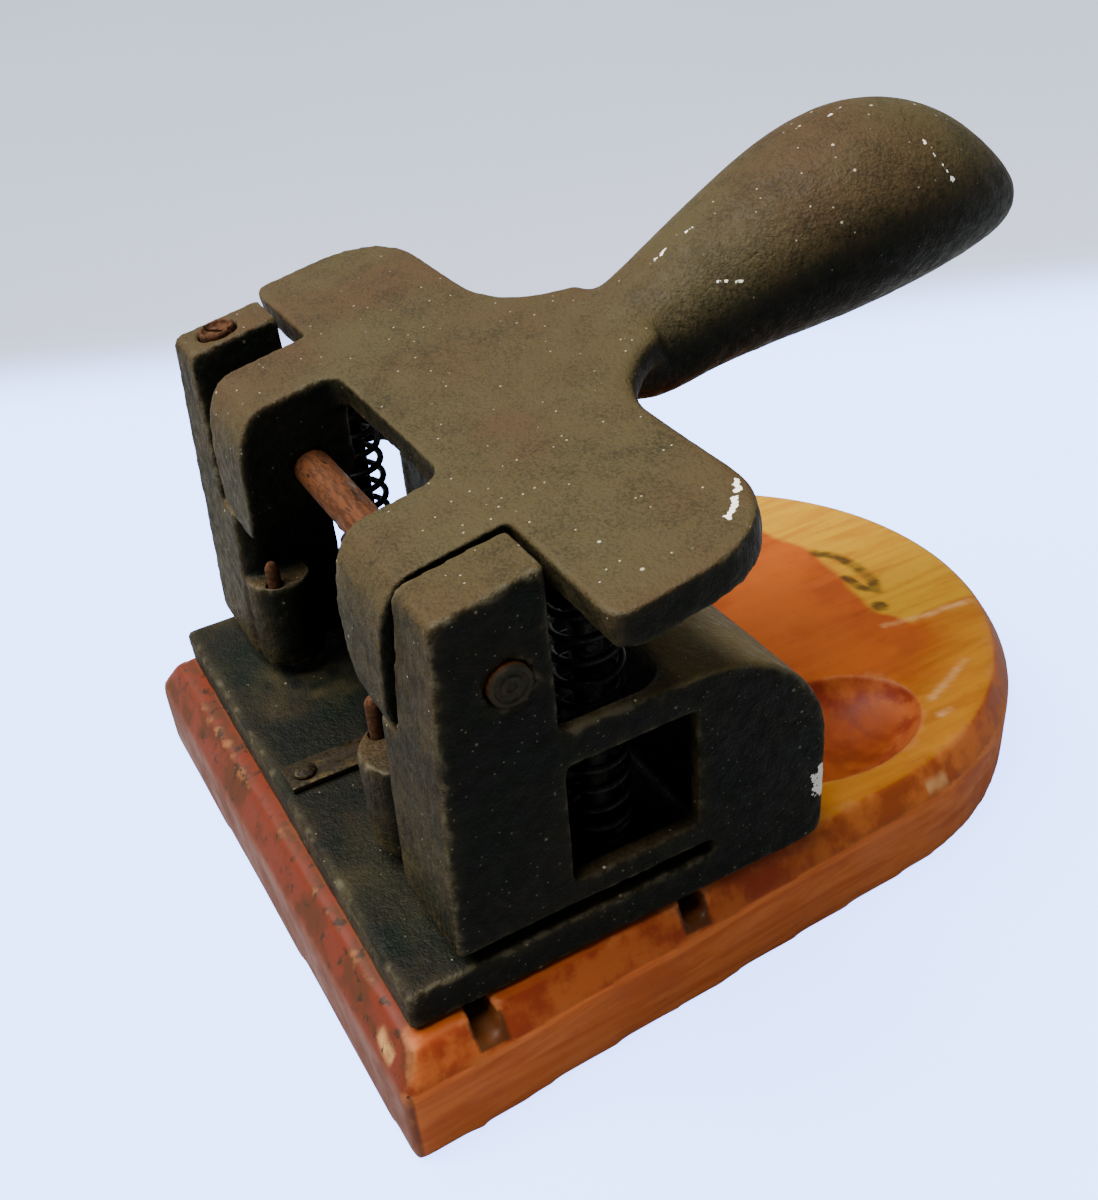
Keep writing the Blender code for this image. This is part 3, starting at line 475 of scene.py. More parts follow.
def wood_material(name):
    """Varnished board: orange heartwood, yellow sapwood at the far end, a dark scar, worn red edges, and
    painted shade in the channels and on the front bevel.
    """
    n = Nodes(name)
    sap, side, edge, scar = map(n.attribute, ("sap", "side", "edge", "scar"))
    dish, front, bevel, pale = map(n.attribute, ("dish", "front", "bevel", "pale"))
    streaks = n.noise(4.5, 5.0, 0.6, n.stretch((1.0, 0.10, 1.0)), 0.6)
    pores = n.noise(0.8, 3.0, 0.6, n.stretch((1.0, 0.06, 1.0)))
    cloud = n.noise(30.0, 3.0, 0.6)
    patch = n.noise(9.0, 4.0, 0.6)

    heart = n.mix(n.ramp(streaks, 0.35, 0.65), *HEART_COLOURS)
    heart = n.mix(n.ramp(cloud, 0.35, 0.7, 0.0, 0.8), heart, HEART_CLOUD)
    yellow = n.mix(n.ramp(streaks, 0.4, 0.7), *SAP_COLOURS)
    colour = n.mix(sap, heart, yellow)
    red = n.mix(n.ramp(patch, 0.35, 0.65), *TRAY_COLOURS)
    colour = n.mix(n.maths("MULTIPLY", dish, 0.85), colour, red)
    tan = n.mix(n.ramp(streaks, 0.35, 0.65), *SIDE_COLOURS)
    colour = n.mix(n.maths("MULTIPLY", side, 0.92), colour, tan)
    worn = n.mix(n.ramp(patch, 0.4, 0.6), *BEVEL_COLOURS)
    colour = n.mix(n.maths("MULTIPLY", bevel, 0.8), colour, worn)
    # Painted shade: the front bevel and the strip before the casting take this dark colour; the front face
    # below is salmon
    shaded = n.mix(n.ramp(patch, 0.42, 0.58), *FRONT_BEVEL_SHADE_COLOURS)
    salmon = n.mix(n.ramp(patch, 0.35, 0.65), *FRONT_COLOURS)
    colour = n.mix(n.maths("MULTIPLY", front, 0.95), colour, n.mix(bevel, salmon, shaded))
    rubbed = n.ramp(n.maths("ADD", edge, n.ramp(patch, 0.3, 0.7, -0.6, 0.3)), 0.35, 0.75)
    colour = n.mix(n.maths("MULTIPLY", rubbed, 0.30), colour, WOOD_RUBBED)
    colour = n.mix(n.maths("MULTIPLY", pale, 0.8), colour, WOOD_SCRATCH)
    grime = n.ramp(n.noise(3.2, 4.0, 0.65), 0.56, 0.66)
    grime = n.maths("MULTIPLY", grime, n.ramp(n.maths("MULTIPLY", front, bevel), 0.0, 1.0, 0.08, 0.9))
    colour = n.mix(grime, colour, WOOD_GRIME)
    # The dark scar and spot, and painted shade in the channels
    colour = n.mix(scar, colour, WOOD_SCAR_AND_SHADE)
    colour = n.mix(n.ramp(pores, 0.60, 0.75, 0.0, 0.30), colour, WOOD_PORES)

    roughness = n.ramp(patch, 0.3, 0.7, 0.40, 0.60)
    roughness = n.maths("ADD", roughness, n.maths("MULTIPLY", side, 0.10))
    height = n.maths("ADD", n.maths("MULTIPLY", streaks, 0.5), n.maths("MULTIPLY", pores, 0.35))
    normal = n.bump(height, 0.00012, 0.6)
    return n.finish(colour, roughness, normal, 0.0, Specular_IOR_Level=0.10)


def metal_material(name, clean, rust, rust_share, rough=(0.32, 0.55), across=(1.0, 1.0, 1.0)):
    """Bare metal with a film of rust or oil in patches; `end` marks the shaft's darker end faces."""
    n = Nodes(name)
    lines = n.noise(0.9, 4.0, 0.6, n.stretch(across))
    patch = n.noise(3.5, 4.0, 0.65)
    film = n.maths("ADD", patch, n.ramp(lines, 0.3, 0.7, -0.1, 0.1))
    share = n.ramp(film, 0.62 - rust_share / 2, 0.72 - rust_share / 2)
    colour = n.mix(share, clean, n.mix(n.ramp(lines, 0.4, 0.6), rust, tuple(c * 0.5 for c in rust)))
    end = n.attribute("end")
    colour = n.mix(end, colour, n.mix(n.ramp(patch, 0.4, 0.6), *SHAFT_END_COLOURS))
    roughness = n.maths("ADD", n.ramp(lines, 0.3, 0.7, *rough), n.maths("MULTIPLY", share, 0.22))
    metallic = n.maths("MULTIPLY", n.ramp(share, 0.0, 1.0, 0.95, 0.15), n.ramp(end, 0.0, 1.0, 1.0, 0.0))
    normal = n.bump(n.maths("ADD", lines, patch), 0.00008, 0.7)
    return n.finish(colour, roughness, normal, metallic, Specular_IOR_Level=0.08)


# ---------------------------------------------------------------- castings


def finish_casting(mesh, relaxer, wear, chip, dust, deep, grain_share):
    """Grain as geometry, then the attributes that the iron's material reads."""
    co = positions(mesh)
    out = normals(mesh)
    coarse = value_noise(co, 2.1 * MM, 11) * 0.6 + value_noise(co, 1.25 * MM, 12) * 0.4
    broad = value_noise(co, 14.0 * MM, 13)
    shift = coarse * CAST_GRAIN * grain_share + broad * CAST_WAVES - CAST_INSET
    set_positions(mesh, co + out * shift[:, None])
    edge, hollow = edge_and_hollow(mesh, relaxer, 14, 0.45 * MM)
    ragged = 0.6 + 0.4 * value_noise(co, 2.4 * MM, 14)
    add_attributes(
        mesh,
        wear=np.clip(wear - hollow * 0.5, 0.0, 1.0),
        edge=np.clip(edge * ragged, 0.0, 1.0),
        chip=chip,
        dust=dust,
        deep=deep,
    )
    mesh.shade_smooth()


def make_frame_casting():
    mesh = fine_copy("press_frame", FRAME_VOXEL)
    relaxer = Relaxer(mesh)
    co = positions(mesh)
    set_positions(mesh, relaxer.relax(co, np.full(len(co), 0.5), 4))
    co = positions(mesh)
    out = normals(mesh)
    x = co[:, 0]
    z = co[:, 2]
    depth = co[:, 1] - FRONT_Y

    # Tops and fronts are lighter, most of all high up: worn paint, and painted light as well. The cavity
    # stays dark as painted shade, and the jaw's top keeps darker paint, partly as painted shade
    up = smooth_step(0.35, 0.95, out[:, 2])
    front = smooth_step(0.5, 0.95, -out[:, 1])
    high = smooth_step(THROAT_TOP, FRAME_HIGH.z, z)
    wear = up * (0.45 + 0.55 * high) + front * 0.42
    inside = (np.abs(x) < CAVITY_HALF_X) & (z < SHOULDER_Z - 1.0 * MM)
    inside &= (co[:, 1] > FRONT_Y + CAVITY_DEPTHS[0]) & (co[:, 1] < FRONT_Y + CAVITY_DEPTHS[1])
    wear[inside] *= 0.15
    jaw = (z < JAW_TOP + 1.0 * MM) & (out[:, 2] > 0.5)
    wear[jaw] = 0.07 + 0.16 * value_noise(co[jaw], 11.0 * MM, 21)
    grain = 0.35 + 0.65 * (1.0 - up)

    # A white chip on the housing's right rear edge
    behind = smooth_step(FRONT_Y + 91.0 * MM, FRONT_Y + 95.0 * MM, co[:, 1])
    band = smooth_step(0.95 * MM, 0.35 * MM, np.abs(x - FRAME_HIGH.x)) * behind * 0.8
    chip = band * smooth_step(35.0 * MM, 37.0 * MM, z) * smooth_step(46.0 * MM, 43.0 * MM, z)

    # Dust on the housing's roof, made brighter as painted light where the wing's shadow falls, a little rust
    # on the jaw, and painted shade in the cavity
    roof = smooth_step(0.15, 0.5, out[:, 2]) * smooth_step(SHOULDER_Z - 26.0 * MM, SHOULDER_Z - 18.0 * MM, z)
    dust = roof * smooth_step(60.0 * MM, 66.0 * MM, depth) * smooth_step(97.0 * MM, 78.0 * MM, depth)
    dust *= 0.75 + 0.35 * value_noise(co, 7.0 * MM, 22)
    from_rust = np.hypot(x - JAW_RUST_CENTRE[0], depth - JAW_RUST_CENTRE[1])
    rust = smooth_step(16.0 * MM, 7.0 * MM, from_rust) * jaw
    dust = np.clip(dust + rust * 0.10 * (0.5 + value_noise(co, 3.0 * MM, 23)), 0.0, 1.0)
    # Painted shade in the cavity: on its walls, and on its floor below the sill
    deep = inside * smooth_step(0.95, 0.7, np.abs(out[:, 2]))
    deep = np.maximum(deep, inside * (z < SILL_TOP + 1.0 * MM))
    finish_casting(mesh, relaxer, wear, chip, dust, deep * 0.92, grain)
    material = iron_material("frame_iron", FRAME_PAINT, FRAME_WORN_AND_LIT, 0.85)
    make_piece("frame_casting", mesh, material, "frame", ["press_frame"])


def make_lever_casting():
    mesh = fine_copy("lever", LEVER_VOXEL)
    relaxer = Relaxer(mesh)
    co = positions(mesh)
    untilt = np.array(Matrix.Rotation(-LEVER_TILT, 3, "X")).T
    along = ((co - np.array(SHAFT_CENTRE)) @ untilt)[:, 1]
    handle = smooth_step(HANDLE_START, HANDLE_FULL, along)
    co = relaxer.relax(co, np.full(len(co), 0.5), 5)
    co = relaxer.relax(co, 0.5 * handle, 70)
    set_positions(mesh, co)
    out = normals(mesh)
    up_own = (out @ untilt)[:, 2]
    up = smooth_step(-0.1, 0.9, up_own)
    front = smooth_step(0.4, 0.95, -out[:, 1])
    # Tops and fronts are lighter: worn paint, and painted light as well
    wear = np.clip(up * 0.95 + front * 0.35, 0.0, 1.0)
    grain = 0.35 + 0.65 * (1.0 - up)
    grain *= 1.0 - 0.5 * handle
    here = co - np.array((0.0, FRONT_Y, 0.0))
    broken = smooth_step(-0.75, -0.2, value_noise(co, 2.6 * MM, 24))
    chip = near_line(here, WING_CHIP, 0.2 * MM, 1.0 * MM) * broken * 0.72
    for line in HANDLE_SCRATCHES:
        chip = np.maximum(chip, near_line(here, line, 0.1 * MM, 0.65 * MM) * broken * 0.54)
    # Painted shade on the lever's underside, away from the handle
    deep = smooth_step(-0.35, -0.8, up_own) * (1.0 - handle) * 0.8
    finish_casting(mesh, relaxer, wear, chip, np.zeros(len(co)), deep, grain)
    material = iron_material("lever_iron", LEVER_PAINT, LEVER_WORN_AND_LIT, 0.95)
    make_piece("lever_casting", mesh, material, "lever", ["lever"])


# ---------------------------------------------------------------- board


def shaped_board_mesh():
    """The board with soft edges, waves and dents, and how far each vertex is from the nearer channel."""
    mesh = fine_copy("base_board", BOARD_VOXEL)
    relaxer = Relaxer(mesh)
    co = positions(mesh)
    y = co[:, 1] - FRONT_Y
    in_channel = np.minimum(np.abs(y - CHANNEL_DEPTHS[0]), np.abs(y - CHANNEL_DEPTHS[1]))
    share = 0.5 * (0.25 + 0.75 * smooth_step(4.0 * MM, 8.0 * MM, in_channel))
    share *= 1.0 - 0.75 * smooth_step(0.25, 0.1, np.abs(tray_distance(co[:, 0], y) - 1.0))
    co = relaxer.relax(co, share, 12)
    set_positions(mesh, co)
    out = normals(mesh)
    wavy = value_noise(co, 24.0 * MM, 31) * 0.09 * MM + value_noise(co, 6.0 * MM, 32) * 0.025 * MM
    dents = np.clip(value_noise(co, 3.4 * MM, 33) - 0.62, 0.0, 1.0) * 0.3 * MM
    shift = wavy - dents * (1.0 - smooth_step(0.9, 0.99, out[:, 2])) - 0.18 * MM
    keep = smooth_step(0.5 * MM, 2.0 * MM, co[:, 2])
    set_positions(mesh, co + out * (shift * keep)[:, None])
    edge = edge_and_hollow(mesh, relaxer, 16, 0.5 * MM)[0]
    return mesh, co, out, edge, in_channel


def sapwood(co, x, y):
    """Sapwood behind a ragged border at the far end; right of it the wood is only a little paler."""
    wander = value_noise(co, 9.0 * MM, 34) * 1.6 * MM + value_noise(co, 3.0 * MM, 37) * 0.5 * MM
    border = np.interp(x / MM, SAP_EDGE_X, SAP_EDGE_Y) * MM
    sap = smooth_step(-1.2 * MM, 1.2 * MM, y - border + wander)
    sap = sap * smooth_step(22.5 * MM, 20.0 * MM, x + wander)
    reach = np.hypot(x - ROUND_END_CENTRE[0], y - ROUND_END_CENTRE[1])
    outer = smooth_step(42.0 * MM, 62.0 * MM, reach + wander * 3.0) * smooth_step(15.0 * MM, 25.0 * MM, x)
    outer *= smooth_step(84.0 * MM, 108.0 * MM, y)
    return np.maximum(sap, outer * 0.55)


def board_marks(co, x, y, flat, in_channel):
    """The dark scar and the spot, painted shade in the channels, then the pale scratches."""
    here = np.stack([x, y], 1)
    ragged = 0.75 + 0.5 * value_noise(co, 1.6 * MM, 36)
    scar = np.zeros(len(co))
    for line, width in zip(BOARD_SCARS, (2.4 * MM, 1.6 * MM)):
        scar = np.maximum(scar, near_line(here, line, 0.7 * MM, width))
    spot = np.hypot(x - SPOT_CENTRE[0], y - SPOT_CENTRE[1])
    scar = np.maximum(scar, smooth_step(2.6 * MM, 1.6 * MM, spot))
    scar = np.clip(scar * ragged * flat, 0.0, 0.85)
    sunk = (in_channel < 3.2 * MM) & (co[:, 2] > CHANNEL_FLOOR - 1.0 * MM) & (co[:, 2] < BOARD_TOP - 1.2 * MM)
    # Painted shade: the channels' walls and floors go nearly black
    scar = np.maximum(scar, sunk * 0.8)
    pale = np.zeros(len(co))
    for line in BOARD_STREAKS:
        pale = np.maximum(pale, near_line(here, line, 0.3 * MM, 1.2 * MM) * ragged)
    return scar, pale


def make_board():
    mesh, co, out, edge, in_channel = shaped_board_mesh()
    x = co[:, 0]
    y = co[:, 1] - FRONT_Y
    bevel = smooth_step(0.25, 0.40, out[:, 2]) * smooth_step(0.92, 0.78, out[:, 2])
    upright = smooth_step(0.40, 0.25, out[:, 2]) * smooth_step(-0.6, -0.2, out[:, 2])
    dish = smooth_step(0.3 * MM, 1.2 * MM, BOARD_TOP - co[:, 2])
    dish *= smooth_step(1.12, 1.02, tray_distance(x, y))
    front = smooth_step(0.15, 0.45, -out[:, 1]) * (y < 8.0 * MM)
    # The strip of top in front of the casting takes the front bevel's painted shade
    lip = smooth_step(7.0 * MM, 5.0 * MM, y) * smooth_step(0.5, 0.8, out[:, 2])
    lip = lip * smooth_step(69.0 * MM, 62.0 * MM, x)
    front = np.maximum(front, lip)
    scar, pale = board_marks(co, x, y, smooth_step(0.9, 0.98, out[:, 2]), in_channel)
    add_attributes(
        mesh,
        sap=sapwood(co, x, y),
        side=upright * (1.0 - dish) * (1.0 - front),
        edge=edge,
        scar=scar,
        dish=dish,
        front=front,
        bevel=np.maximum(bevel, lip),
        pale=pale,
    )
    mesh.shade_smooth()
    make_piece("board", mesh, wood_material("varnished_board"), "frame", ["base_board"])


# ---------------------------------------------------------------- turned pieces and springs


def turned_mesh(name, profile, steps=64):
    """A turned piece from (radius, height) in metres, top to bottom; round-off comes from the profile."""
    mesh = bpy.data.meshes.new(name)
    bm = bmesh.new()
    verts = [bm.verts.new((radius, 0.0, height)) for radius, height in profile]
    for first, second in zip(verts, verts[1:]):
        bm.edges.new((first, second))
    bm.to_mesh(mesh)
    bm.free()
    guide = link(bpy.data.objects.new(name + "_guide", mesh))
    screw = guide.modifiers.new("turn", "SCREW")
    screw.steps = steps
    screw.render_steps = steps
    screw.use_merge_vertices = True
    screw.merge_threshold = 2 * MERGE_DISTANCE
    turned = baked_mesh(guide, name)
    bpy.data.objects.remove(guide, do_unlink=True)
    turned.shade_smooth()
    turned.set_sharp_from_angle(angle=SHARP_ANGLE)
    return turned


def rounded(profile, radius, steps=3):
    """The same profile with a short curve of about `radius` at each corner between its two ends."""
    result = [profile[0]]
    for before, corner, after in zip(profile, profile[1:], profile[2:]):
        a = Vector(before) - Vector(corner)
        b = Vector(after) - Vector(corner)
        cut = min(radius, a.length * 0.45, b.length * 0.45)
        start = Vector(corner) + a.normalized() * cut
        end = Vector(corner) + b.normalized() * cut
        for index in range(steps + 1):
            t = index / steps
            point = start * (1 - t) ** 2 + Vector(corner) * 2 * t * (1 - t) + end * t**2
            result.append((point.x, point.y))
    result.append(profile[-1])
    return result


def place(mesh, centre, axis):
    """Moves a turned mesh so that its own Z runs along an axis through a centre."""
    turn = Vector(UP).rotation_difference(Vector(axis)).to_matrix().to_4x4()
    mesh.transform(Matrix.Translation(Vector(centre)) @ turn)


def make_shaft(material):
    """The shaft, with two shallow rings turned in each end."""
    half = (SHAFT_HIGH.x - SHAFT_LOW.x) / 2
    r = SHAFT_RADIUS
    deep = half - 0.35 * MM
    profile = [(0.0, deep), (0.9 * MM, deep), (1.1 * MM, half), (1.9 * MM, half), (2.1 * MM, deep)]
    profile += [(2.9 * MM, deep), (3.1 * MM, half), (r - 0.35 * MM, half)]
    profile += [(r, half - 0.4 * MM), (r, half - MM)]
    profile += [(radius, -height) for radius, height in reversed(profile)]
    mesh = turned_mesh("shaft", rounded(profile, 0.12 * MM), 72)
    along = np.abs(positions(mesh)[:, 2])
    add_attributes(mesh, end=smooth_step(half - 0.9 * MM, half - 0.5 * MM, along))
    place(mesh, SHAFT_CENTRE, (1.0, 0.0, 0.0))
    make_piece("shaft", mesh, material, "frame", ["pivot_shaft"])


def spring_mesh(name, low, high, centre, radius, wire, turns):
    """A closed-end compression spring, swept as a smooth wire."""
    curve = bpy.data.curves.new(name, "CURVE")
    curve.dimensions = "3D"
    curve.bevel_depth = wire
    curve.bevel_resolution = 4
    curve.use_fill_caps = True
    total = int(turns * SPRING_POINTS_PER_TURN)
    closed_pitch = 2 * wire + 0.25 * MM
    open_pitch = (high - low - 2 * wire - 2 * closed_pitch) / (turns - 2)
    spline = curve.splines.new("POLY")
    spline.points.add(total)
    height = low + wire
    for index in range(total + 1):
        turn = index / SPRING_POINTS_PER_TURN
        angle = 2 * math.pi * turn
        spline.points[index].co = (
            centre.x + radius * math.cos(angle),
            centre.y + radius * math.sin(angle),
            height,
            1.0,
        )
        pitch = closed_pitch if turn < 1.0 or turn >= turns - 1 else open_pitch
        height += pitch / SPRING_POINTS_PER_TURN
    guide = link(bpy.data.objects.new(name + "_guide", curve))
    mesh = baked_mesh(guide, name)
    bpy.data.objects.remove(guide, do_unlink=True)
    bm = bmesh.new()
    bm.from_mesh(mesh)
    bmesh.ops.remove_doubles(bm, verts=bm.verts, dist=MERGE_DISTANCE)
    bmesh.ops.recalc_face_normals(bm, faces=bm.faces)
    bm.to_mesh(mesh)
    bm.free()
    mesh.shade_smooth()
    return mesh


def make_punch(side, steel):
    low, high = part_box(f"punch_{side}")
    centre = (low + high) / 2
    r = (high.x - low.x) / 2
    profile = [(0.0, high.z), (r - 0.5 * MM, high.z), (r, high.z - 0.5 * MM), (r, low.z), (0.0, low.z)]
    mesh = turned_mesh(f"punch_rod_{side}", rounded(profile, 0.2 * MM), 48)
    place(mesh, (centre.x, centre.y, 0.0), UP)
    make_piece(f"punch_rod_{side}", mesh, steel, f"punch_{side}", [f"punch_{side}"])


def make_punch_cap(side, steel):
    """The domed head over a punch: a groove round its rim and a bore that takes the punch."""
    punch_low, punch_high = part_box(f"punch_{side}")
    centre = (punch_low + punch_high) / 2
    low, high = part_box(f"punch_head_{side}")
    r = (high.x - low.x) / 2
    dome = 12.0 * MM
    dome_steps = 8
    bore = (punch_high.x - punch_low.x) / 2 + 0.3 * MM
    bore_top = punch_high.z + 0.3 * MM
    profile = []
    for step in range(dome_steps + 1):
        radius = (r - 0.8 * MM) * step / dome_steps
        profile.append((radius, high.z - dome + math.sqrt(dome**2 - radius**2)))
    profile += [(r, profile[-1][1] - 0.9 * MM), (r, low.z + 2.4 * MM)]
    profile += [(r - 0.5 * MM, low.z + 2.1 * MM), (r, low.z + 1.8 * MM)]
    profile += [(r, low.z), (bore, low.z), (bore, bore_top), (0.0, bore_top)]
    mesh = turned_mesh(f"punch_cap_{side}", rounded(profile, 0.25 * MM, 2), 64)
    place(mesh, (centre.x, centre.y, 0.0), UP)
    make_piece(f"punch_cap_{side}", mesh, steel, f"punch_{side}", [f"punch_head_{side}"])


def make_return_spring(side, steel):
    """The spring round a punch, with a mesh of its own."""
    punch_low, punch_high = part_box(f"punch_{side}")
    centre = (punch_low + punch_high) / 2
    low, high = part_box(f"punch_spring_{side}")
    name = f"return_spring_{side}"
    mesh = spring_mesh(name, low.z, high.z, centre, SPRING_RADIUS, SPRING_WIRE, SPRING_TURNS)
    spring = make_piece(name, mesh, steel, "frame", [f"punch_spring_{side}"])
    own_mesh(spring)


def make_set_screw(material):
    """The rusty screw in the left upright: raised rim, sunk middle and a narrow slot."""
    axis = Vector((0.0, -math.sin(LEVER_TILT), math.cos(LEVER_TILT)))
    base = Vector((SET_SCREW_X, SHAFT_CENTRE.y - SET_SCREW_FORWARD, SHAFT_CENTRE.z))
    profile = [(0.0, 17.25), (2.5, 17.2), (2.95, 17.6), (3.2, 18.05), (3.7, 18.1), (3.98, 17.6)]
    profile += [(3.98, 7.0), (1.8, 4.7), (0.0, 4.7)]
    mesh = turned_mesh("set_screw", rounded([(r * MM, z * MM) for r, z in profile], 0.15 * MM), 56)
    guide = link(bpy.data.objects.new("set_screw_guide", mesh))
    slot_mesh = bpy.data.meshes.new("slot_guide")
    bm = bmesh.new()
    bmesh.ops.create_cube(bm, size=1.0)
    bmesh.ops.scale(bm, vec=(9.0 * MM, 0.9 * MM, 3.7 * MM), verts=bm.verts)
    bmesh.ops.rotate(bm, matrix=Matrix.Rotation(math.radians(35), 3, "Z"), verts=bm.verts)
    bmesh.ops.translate(bm, vec=(0.0, 0.0, 18.15 * MM), verts=bm.verts)
    bm.to_mesh(slot_mesh)
    bm.free()
    slot = link(bpy.data.objects.new("slot_guide", slot_mesh))
    cut = guide.modifiers.new("slot", "BOOLEAN")
    cut.object = slot
    cut.operation = "DIFFERENCE"
    cut.solver = "EXACT"
    made = baked_mesh(guide, "set_screw")
    bpy.data.objects.remove(guide, do_unlink=True)
    bpy.data.objects.remove(slot, do_unlink=True)
    made.set_sharp_from_angle(angle=SHARP_ANGLE)
    place(made, base, axis)
    make_piece("set_screw", made, material, "frame", ["shaft_set_screw"])


def make_pins(material):
    """The two short pins on the bosses, with worn round tops."""
    for side in ("left", "right"):
        node = f"locating_pin_{side}"
        low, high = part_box(node)
        centre = (low + high) / 2
        r = (high.x - low.x) / 2
        profile = [(0.0, high.z), (r * 0.55, high.z - 0.25 * MM), (r, high.z - 1.6 * MM)]
        profile += [(r, low.z), (0.0, low.z)]
        mesh = turned_mesh(f"pin_{side}", rounded(profile, 0.4 * MM), 40)
        place(mesh, (centre.x, centre.y, 0.0), UP)
        make_piece(f"pin_{side}", mesh, material, "frame", [node])


def make_gauge(brass):
    """The brown strip on the lower jaw, with soft edges, and its round-headed screw."""
    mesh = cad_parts["gauge_strip"].data.copy()
    mesh.materials.clear()
    bm = bmesh.new()
    bm.from_mesh(mesh)
    bmesh.ops.remove_doubles(bm, verts=bm.verts, dist=MERGE_DISTANCE)
    bmesh.ops.dissolve_limit(bm, angle_limit=math.radians(2), verts=bm.verts, edges=bm.edges)
    bm.to_mesh(mesh)
    bm.free()
    guide = link(bpy.data.objects.new("strip_guide", mesh))
    bevel = guide.modifiers.new("soft_edge", "BEVEL")
    bevel.width = 0.2 * MM
    bevel.segments = 3
    bevel.limit_method = "ANGLE"
    strip = baked_mesh(guide, "strip")
    bpy.data.objects.remove(guide, do_unlink=True)
    strip.shade_smooth()
    strip.set_sharp_from_angle(angle=math.radians(30))
    make_piece("strip", strip, brass, "frame", ["gauge_strip"])
    low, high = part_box("gauge_screw")
    centre = (low + high) / 2
    head = (high.x - low.x) / 2
    under = high.z - 1.0 * MM
    profile = [(0.0, high.z), (head * 0.55, high.z - 0.12 * MM), (head * 0.9, high.z - 0.55 * MM)]
    profile += [(head, under), (1.3 * MM, under), (1.3 * MM, low.z), (0.0, low.z)]
    mesh = turned_mesh("strip_screw", rounded(profile, 0.2 * MM), 48)
    place(mesh, (centre.x, centre.y, 0.0), UP)
    make_piece("strip_screw", mesh, brass, "frame", ["gauge_screw"])


def dress_plain_nodes(steel):
    """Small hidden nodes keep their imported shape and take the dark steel."""
    names = [f"{kind}_{side}" for kind in ("spring_seat", "die_bush") for side in ("left", "right")]
    names += [f"frame_screw_{index}" for index in range(1, 5)]
    for name in names:
        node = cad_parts[name]
        for slot in node.material_slots:
            slot.material = steel


# ---------------------------------------------------------------- scene


def floor_material():
    """Pale floor that turns greyer up the sweep; it gives less light back to the object than it shows."""
    n = Nodes("pale_floor")
    far = n.attribute("far")
    tone = n.ramp(n.noise(260.0, 2.0), 0.3, 0.7)
    near = n.mix(tone, *FLOOR_COLOURS)
    seen = n.mix(far, near, n.mix(tone, *SWEEP_COLOURS))
    straight = n.add("ShaderNodeLightPath").outputs["Is Camera Ray"]
    colour = n.mix(straight, FLOOR_BOUNCE, seen)
    glow = n.maths("MULTIPLY", straight, n.ramp(far, 0.0, 1.0, FLOOR_GLOW_STRENGTH, 0.0))
    n.join(glow, n.shader.inputs["Emission Strength"])
    return n.finish(colour, 0.8, None, 0.0, Specular_IOR_Level=0.0, Emission_Color=FLOOR_GLOW)


def make_floor():
    """A pale sweep: flat under the object, curving up well behind it."""
    profile = [(-FLOOR_REACH, 0.0), (SWEEP_START, 0.0)]
    for step in range(1, SWEEP_STEPS + 1):
        angle = SWEEP_ANGLE * step / SWEEP_STEPS
        along = SWEEP_START + SWEEP_RADIUS * math.sin(angle)
        profile.append((along, SWEEP_RADIUS * (1.0 - math.cos(angle))))
    away = Vector((-math.sin(CAMERA_YAW), math.cos(CAMERA_YAW), 0.0))
    across = Vector((math.cos(CAMERA_YAW), math.sin(CAMERA_YAW), 0.0))
    material = floor_material()
    mesh = bpy.data.meshes.new("floor")
    bm = bmesh.new()
    rows = []
    for along, height in profile:
        middle = away * along + Vector((0.0, 0.0, height - 0.2 * MM))
        rows.append([bm.verts.new(middle + across * side) for side in (-FLOOR_REACH, FLOOR_REACH)])
    for row, following in zip(rows, rows[1:]):
        bm.faces.new((row[0], row[1], following[1], following[0]))
    bm.to_mesh(mesh)
    bm.free()
    mesh.shade_smooth()
    add_attributes(mesh, far=smooth_step(0.0, 16.0 * MM, positions(mesh)[:, 2]))
    mesh.materials.append(material)
    link(bpy.data.objects.new("floor", mesh))


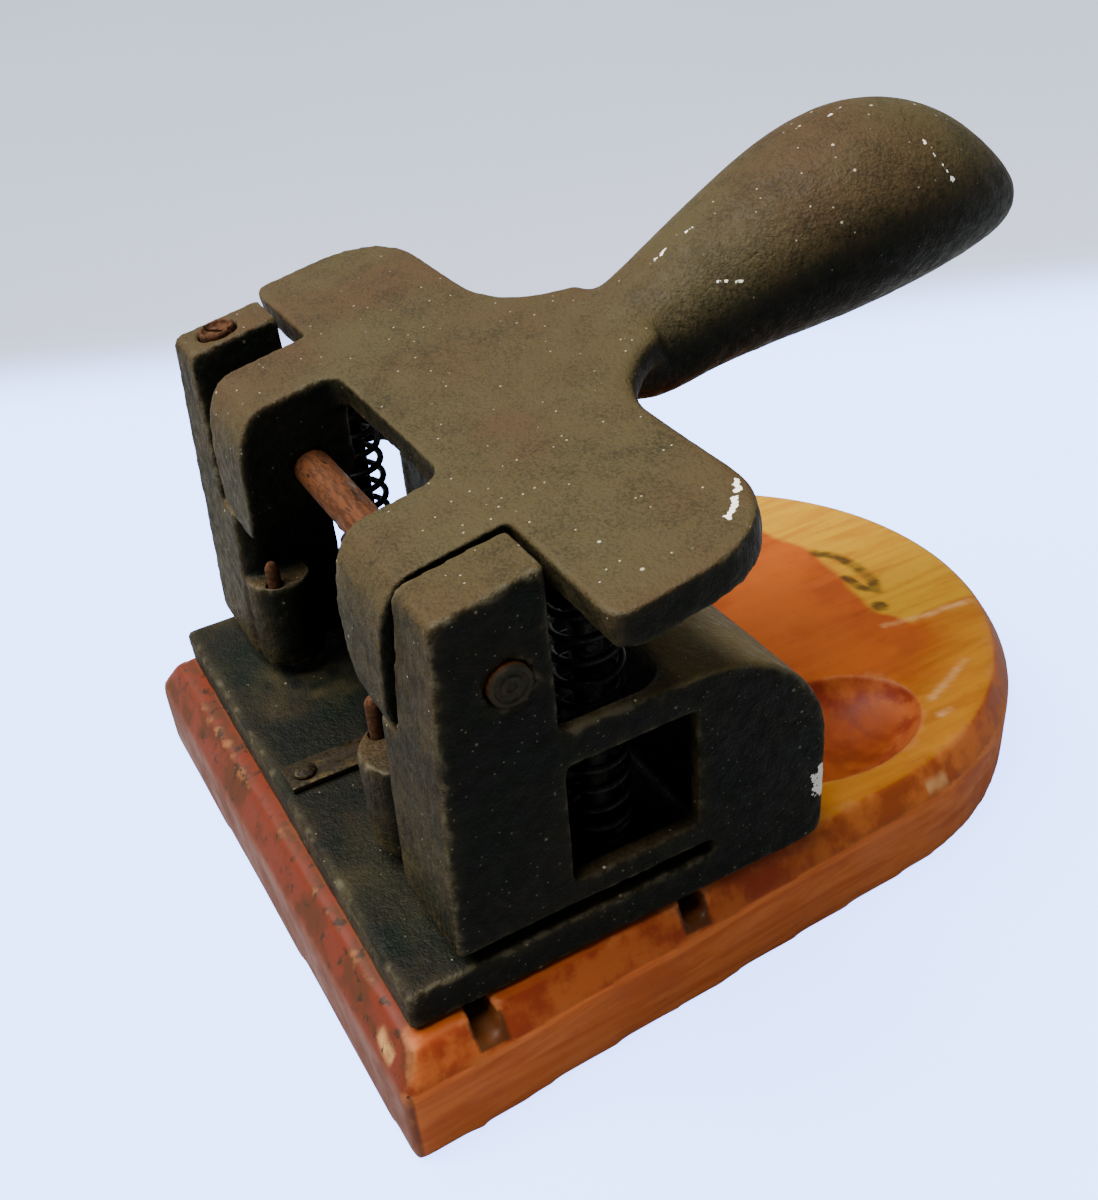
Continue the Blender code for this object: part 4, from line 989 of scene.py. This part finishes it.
def make_lights():
    """One broad key from above, left and a little in front, with a dim even room round it."""
    world = bpy.data.worlds.new("soft_room")
    world.use_nodes = True
    back = world.node_tree.nodes["Background"]
    back.inputs["Color"].default_value = (0.92, 0.95, 1.0, 1.0)
    back.inputs["Strength"].default_value = ROOM_STRENGTH
    bpy.context.scene.world = world
    key = bpy.data.lights.new("key", "SUN")
    key.angle = KEY_ANGLE
    key.energy = KEY_ENERGY
    key.color = (1.0, 0.98, 0.95)
    lamp = link(bpy.data.objects.new("key", key))
    lamp.rotation_euler = Vector(KEY_DIRECTION).to_track_quat("-Z", "Y").to_euler()


def make_camera():
    """The camera stands to the right and a little in front, tilted down and slightly rolled."""
    yaw = CAMERA_YAW
    pitch = CAMERA_PITCH
    roll = CAMERA_ROLL
    forward = Vector(
        (-math.sin(yaw) * math.cos(pitch), math.cos(yaw) * math.cos(pitch), -math.sin(pitch))
    )
    level = Vector((math.cos(yaw), math.sin(yaw), 0.0))
    above = level.cross(forward)
    right = level * math.cos(roll) + above * math.sin(roll)
    up = above * math.cos(roll) - level * math.sin(roll)
    data = bpy.data.cameras.new("camera")
    data.sensor_fit = "VERTICAL"
    data.sensor_height = 36.0
    data.lens = CAMERA_LENS
    data.clip_start = 0.01
    camera = link(bpy.data.objects.new("camera", data))
    turn = Matrix((right, up, -forward)).transposed().to_4x4()
    camera.matrix_world = Matrix.Translation(CAMERA_PLACE) @ turn
    bpy.context.scene.camera = camera


shaft_metal = metal_material(
    "coppery_shaft", (0.085, 0.038, 0.019), (0.060, 0.020, 0.0065), 0.55, across=(0.2, 1.0, 1.0)
)
rusty = metal_material("rusty_steel", (0.050, 0.032, 0.020), (0.050, 0.020, 0.008), 0.75, (0.5, 0.75))
dark_steel = metal_material("dark_steel", (0.012, 0.0115, 0.011), (0.006, 0.004, 0.0025), 0.35)
spring_steel = metal_material("spring_wire", (0.010, 0.0095, 0.009), (0.005, 0.0035, 0.0022), 0.30)
dull_brass = metal_material("dull_brass", (0.026, 0.019, 0.009), (0.012, 0.008, 0.0035), 0.45)

make_frame_casting()
make_lever_casting()
make_board()
make_shaft(shaft_metal)
make_set_screw(rusty)
for punch_side in ("left", "right"):
    make_punch(punch_side, dark_steel)
    make_punch_cap(punch_side, dark_steel)
    make_return_spring(punch_side, spring_steel)
make_pins(rusty)
make_gauge(dull_brass)
dress_plain_nodes(dark_steel)
make_floor()
make_lights()
make_camera()
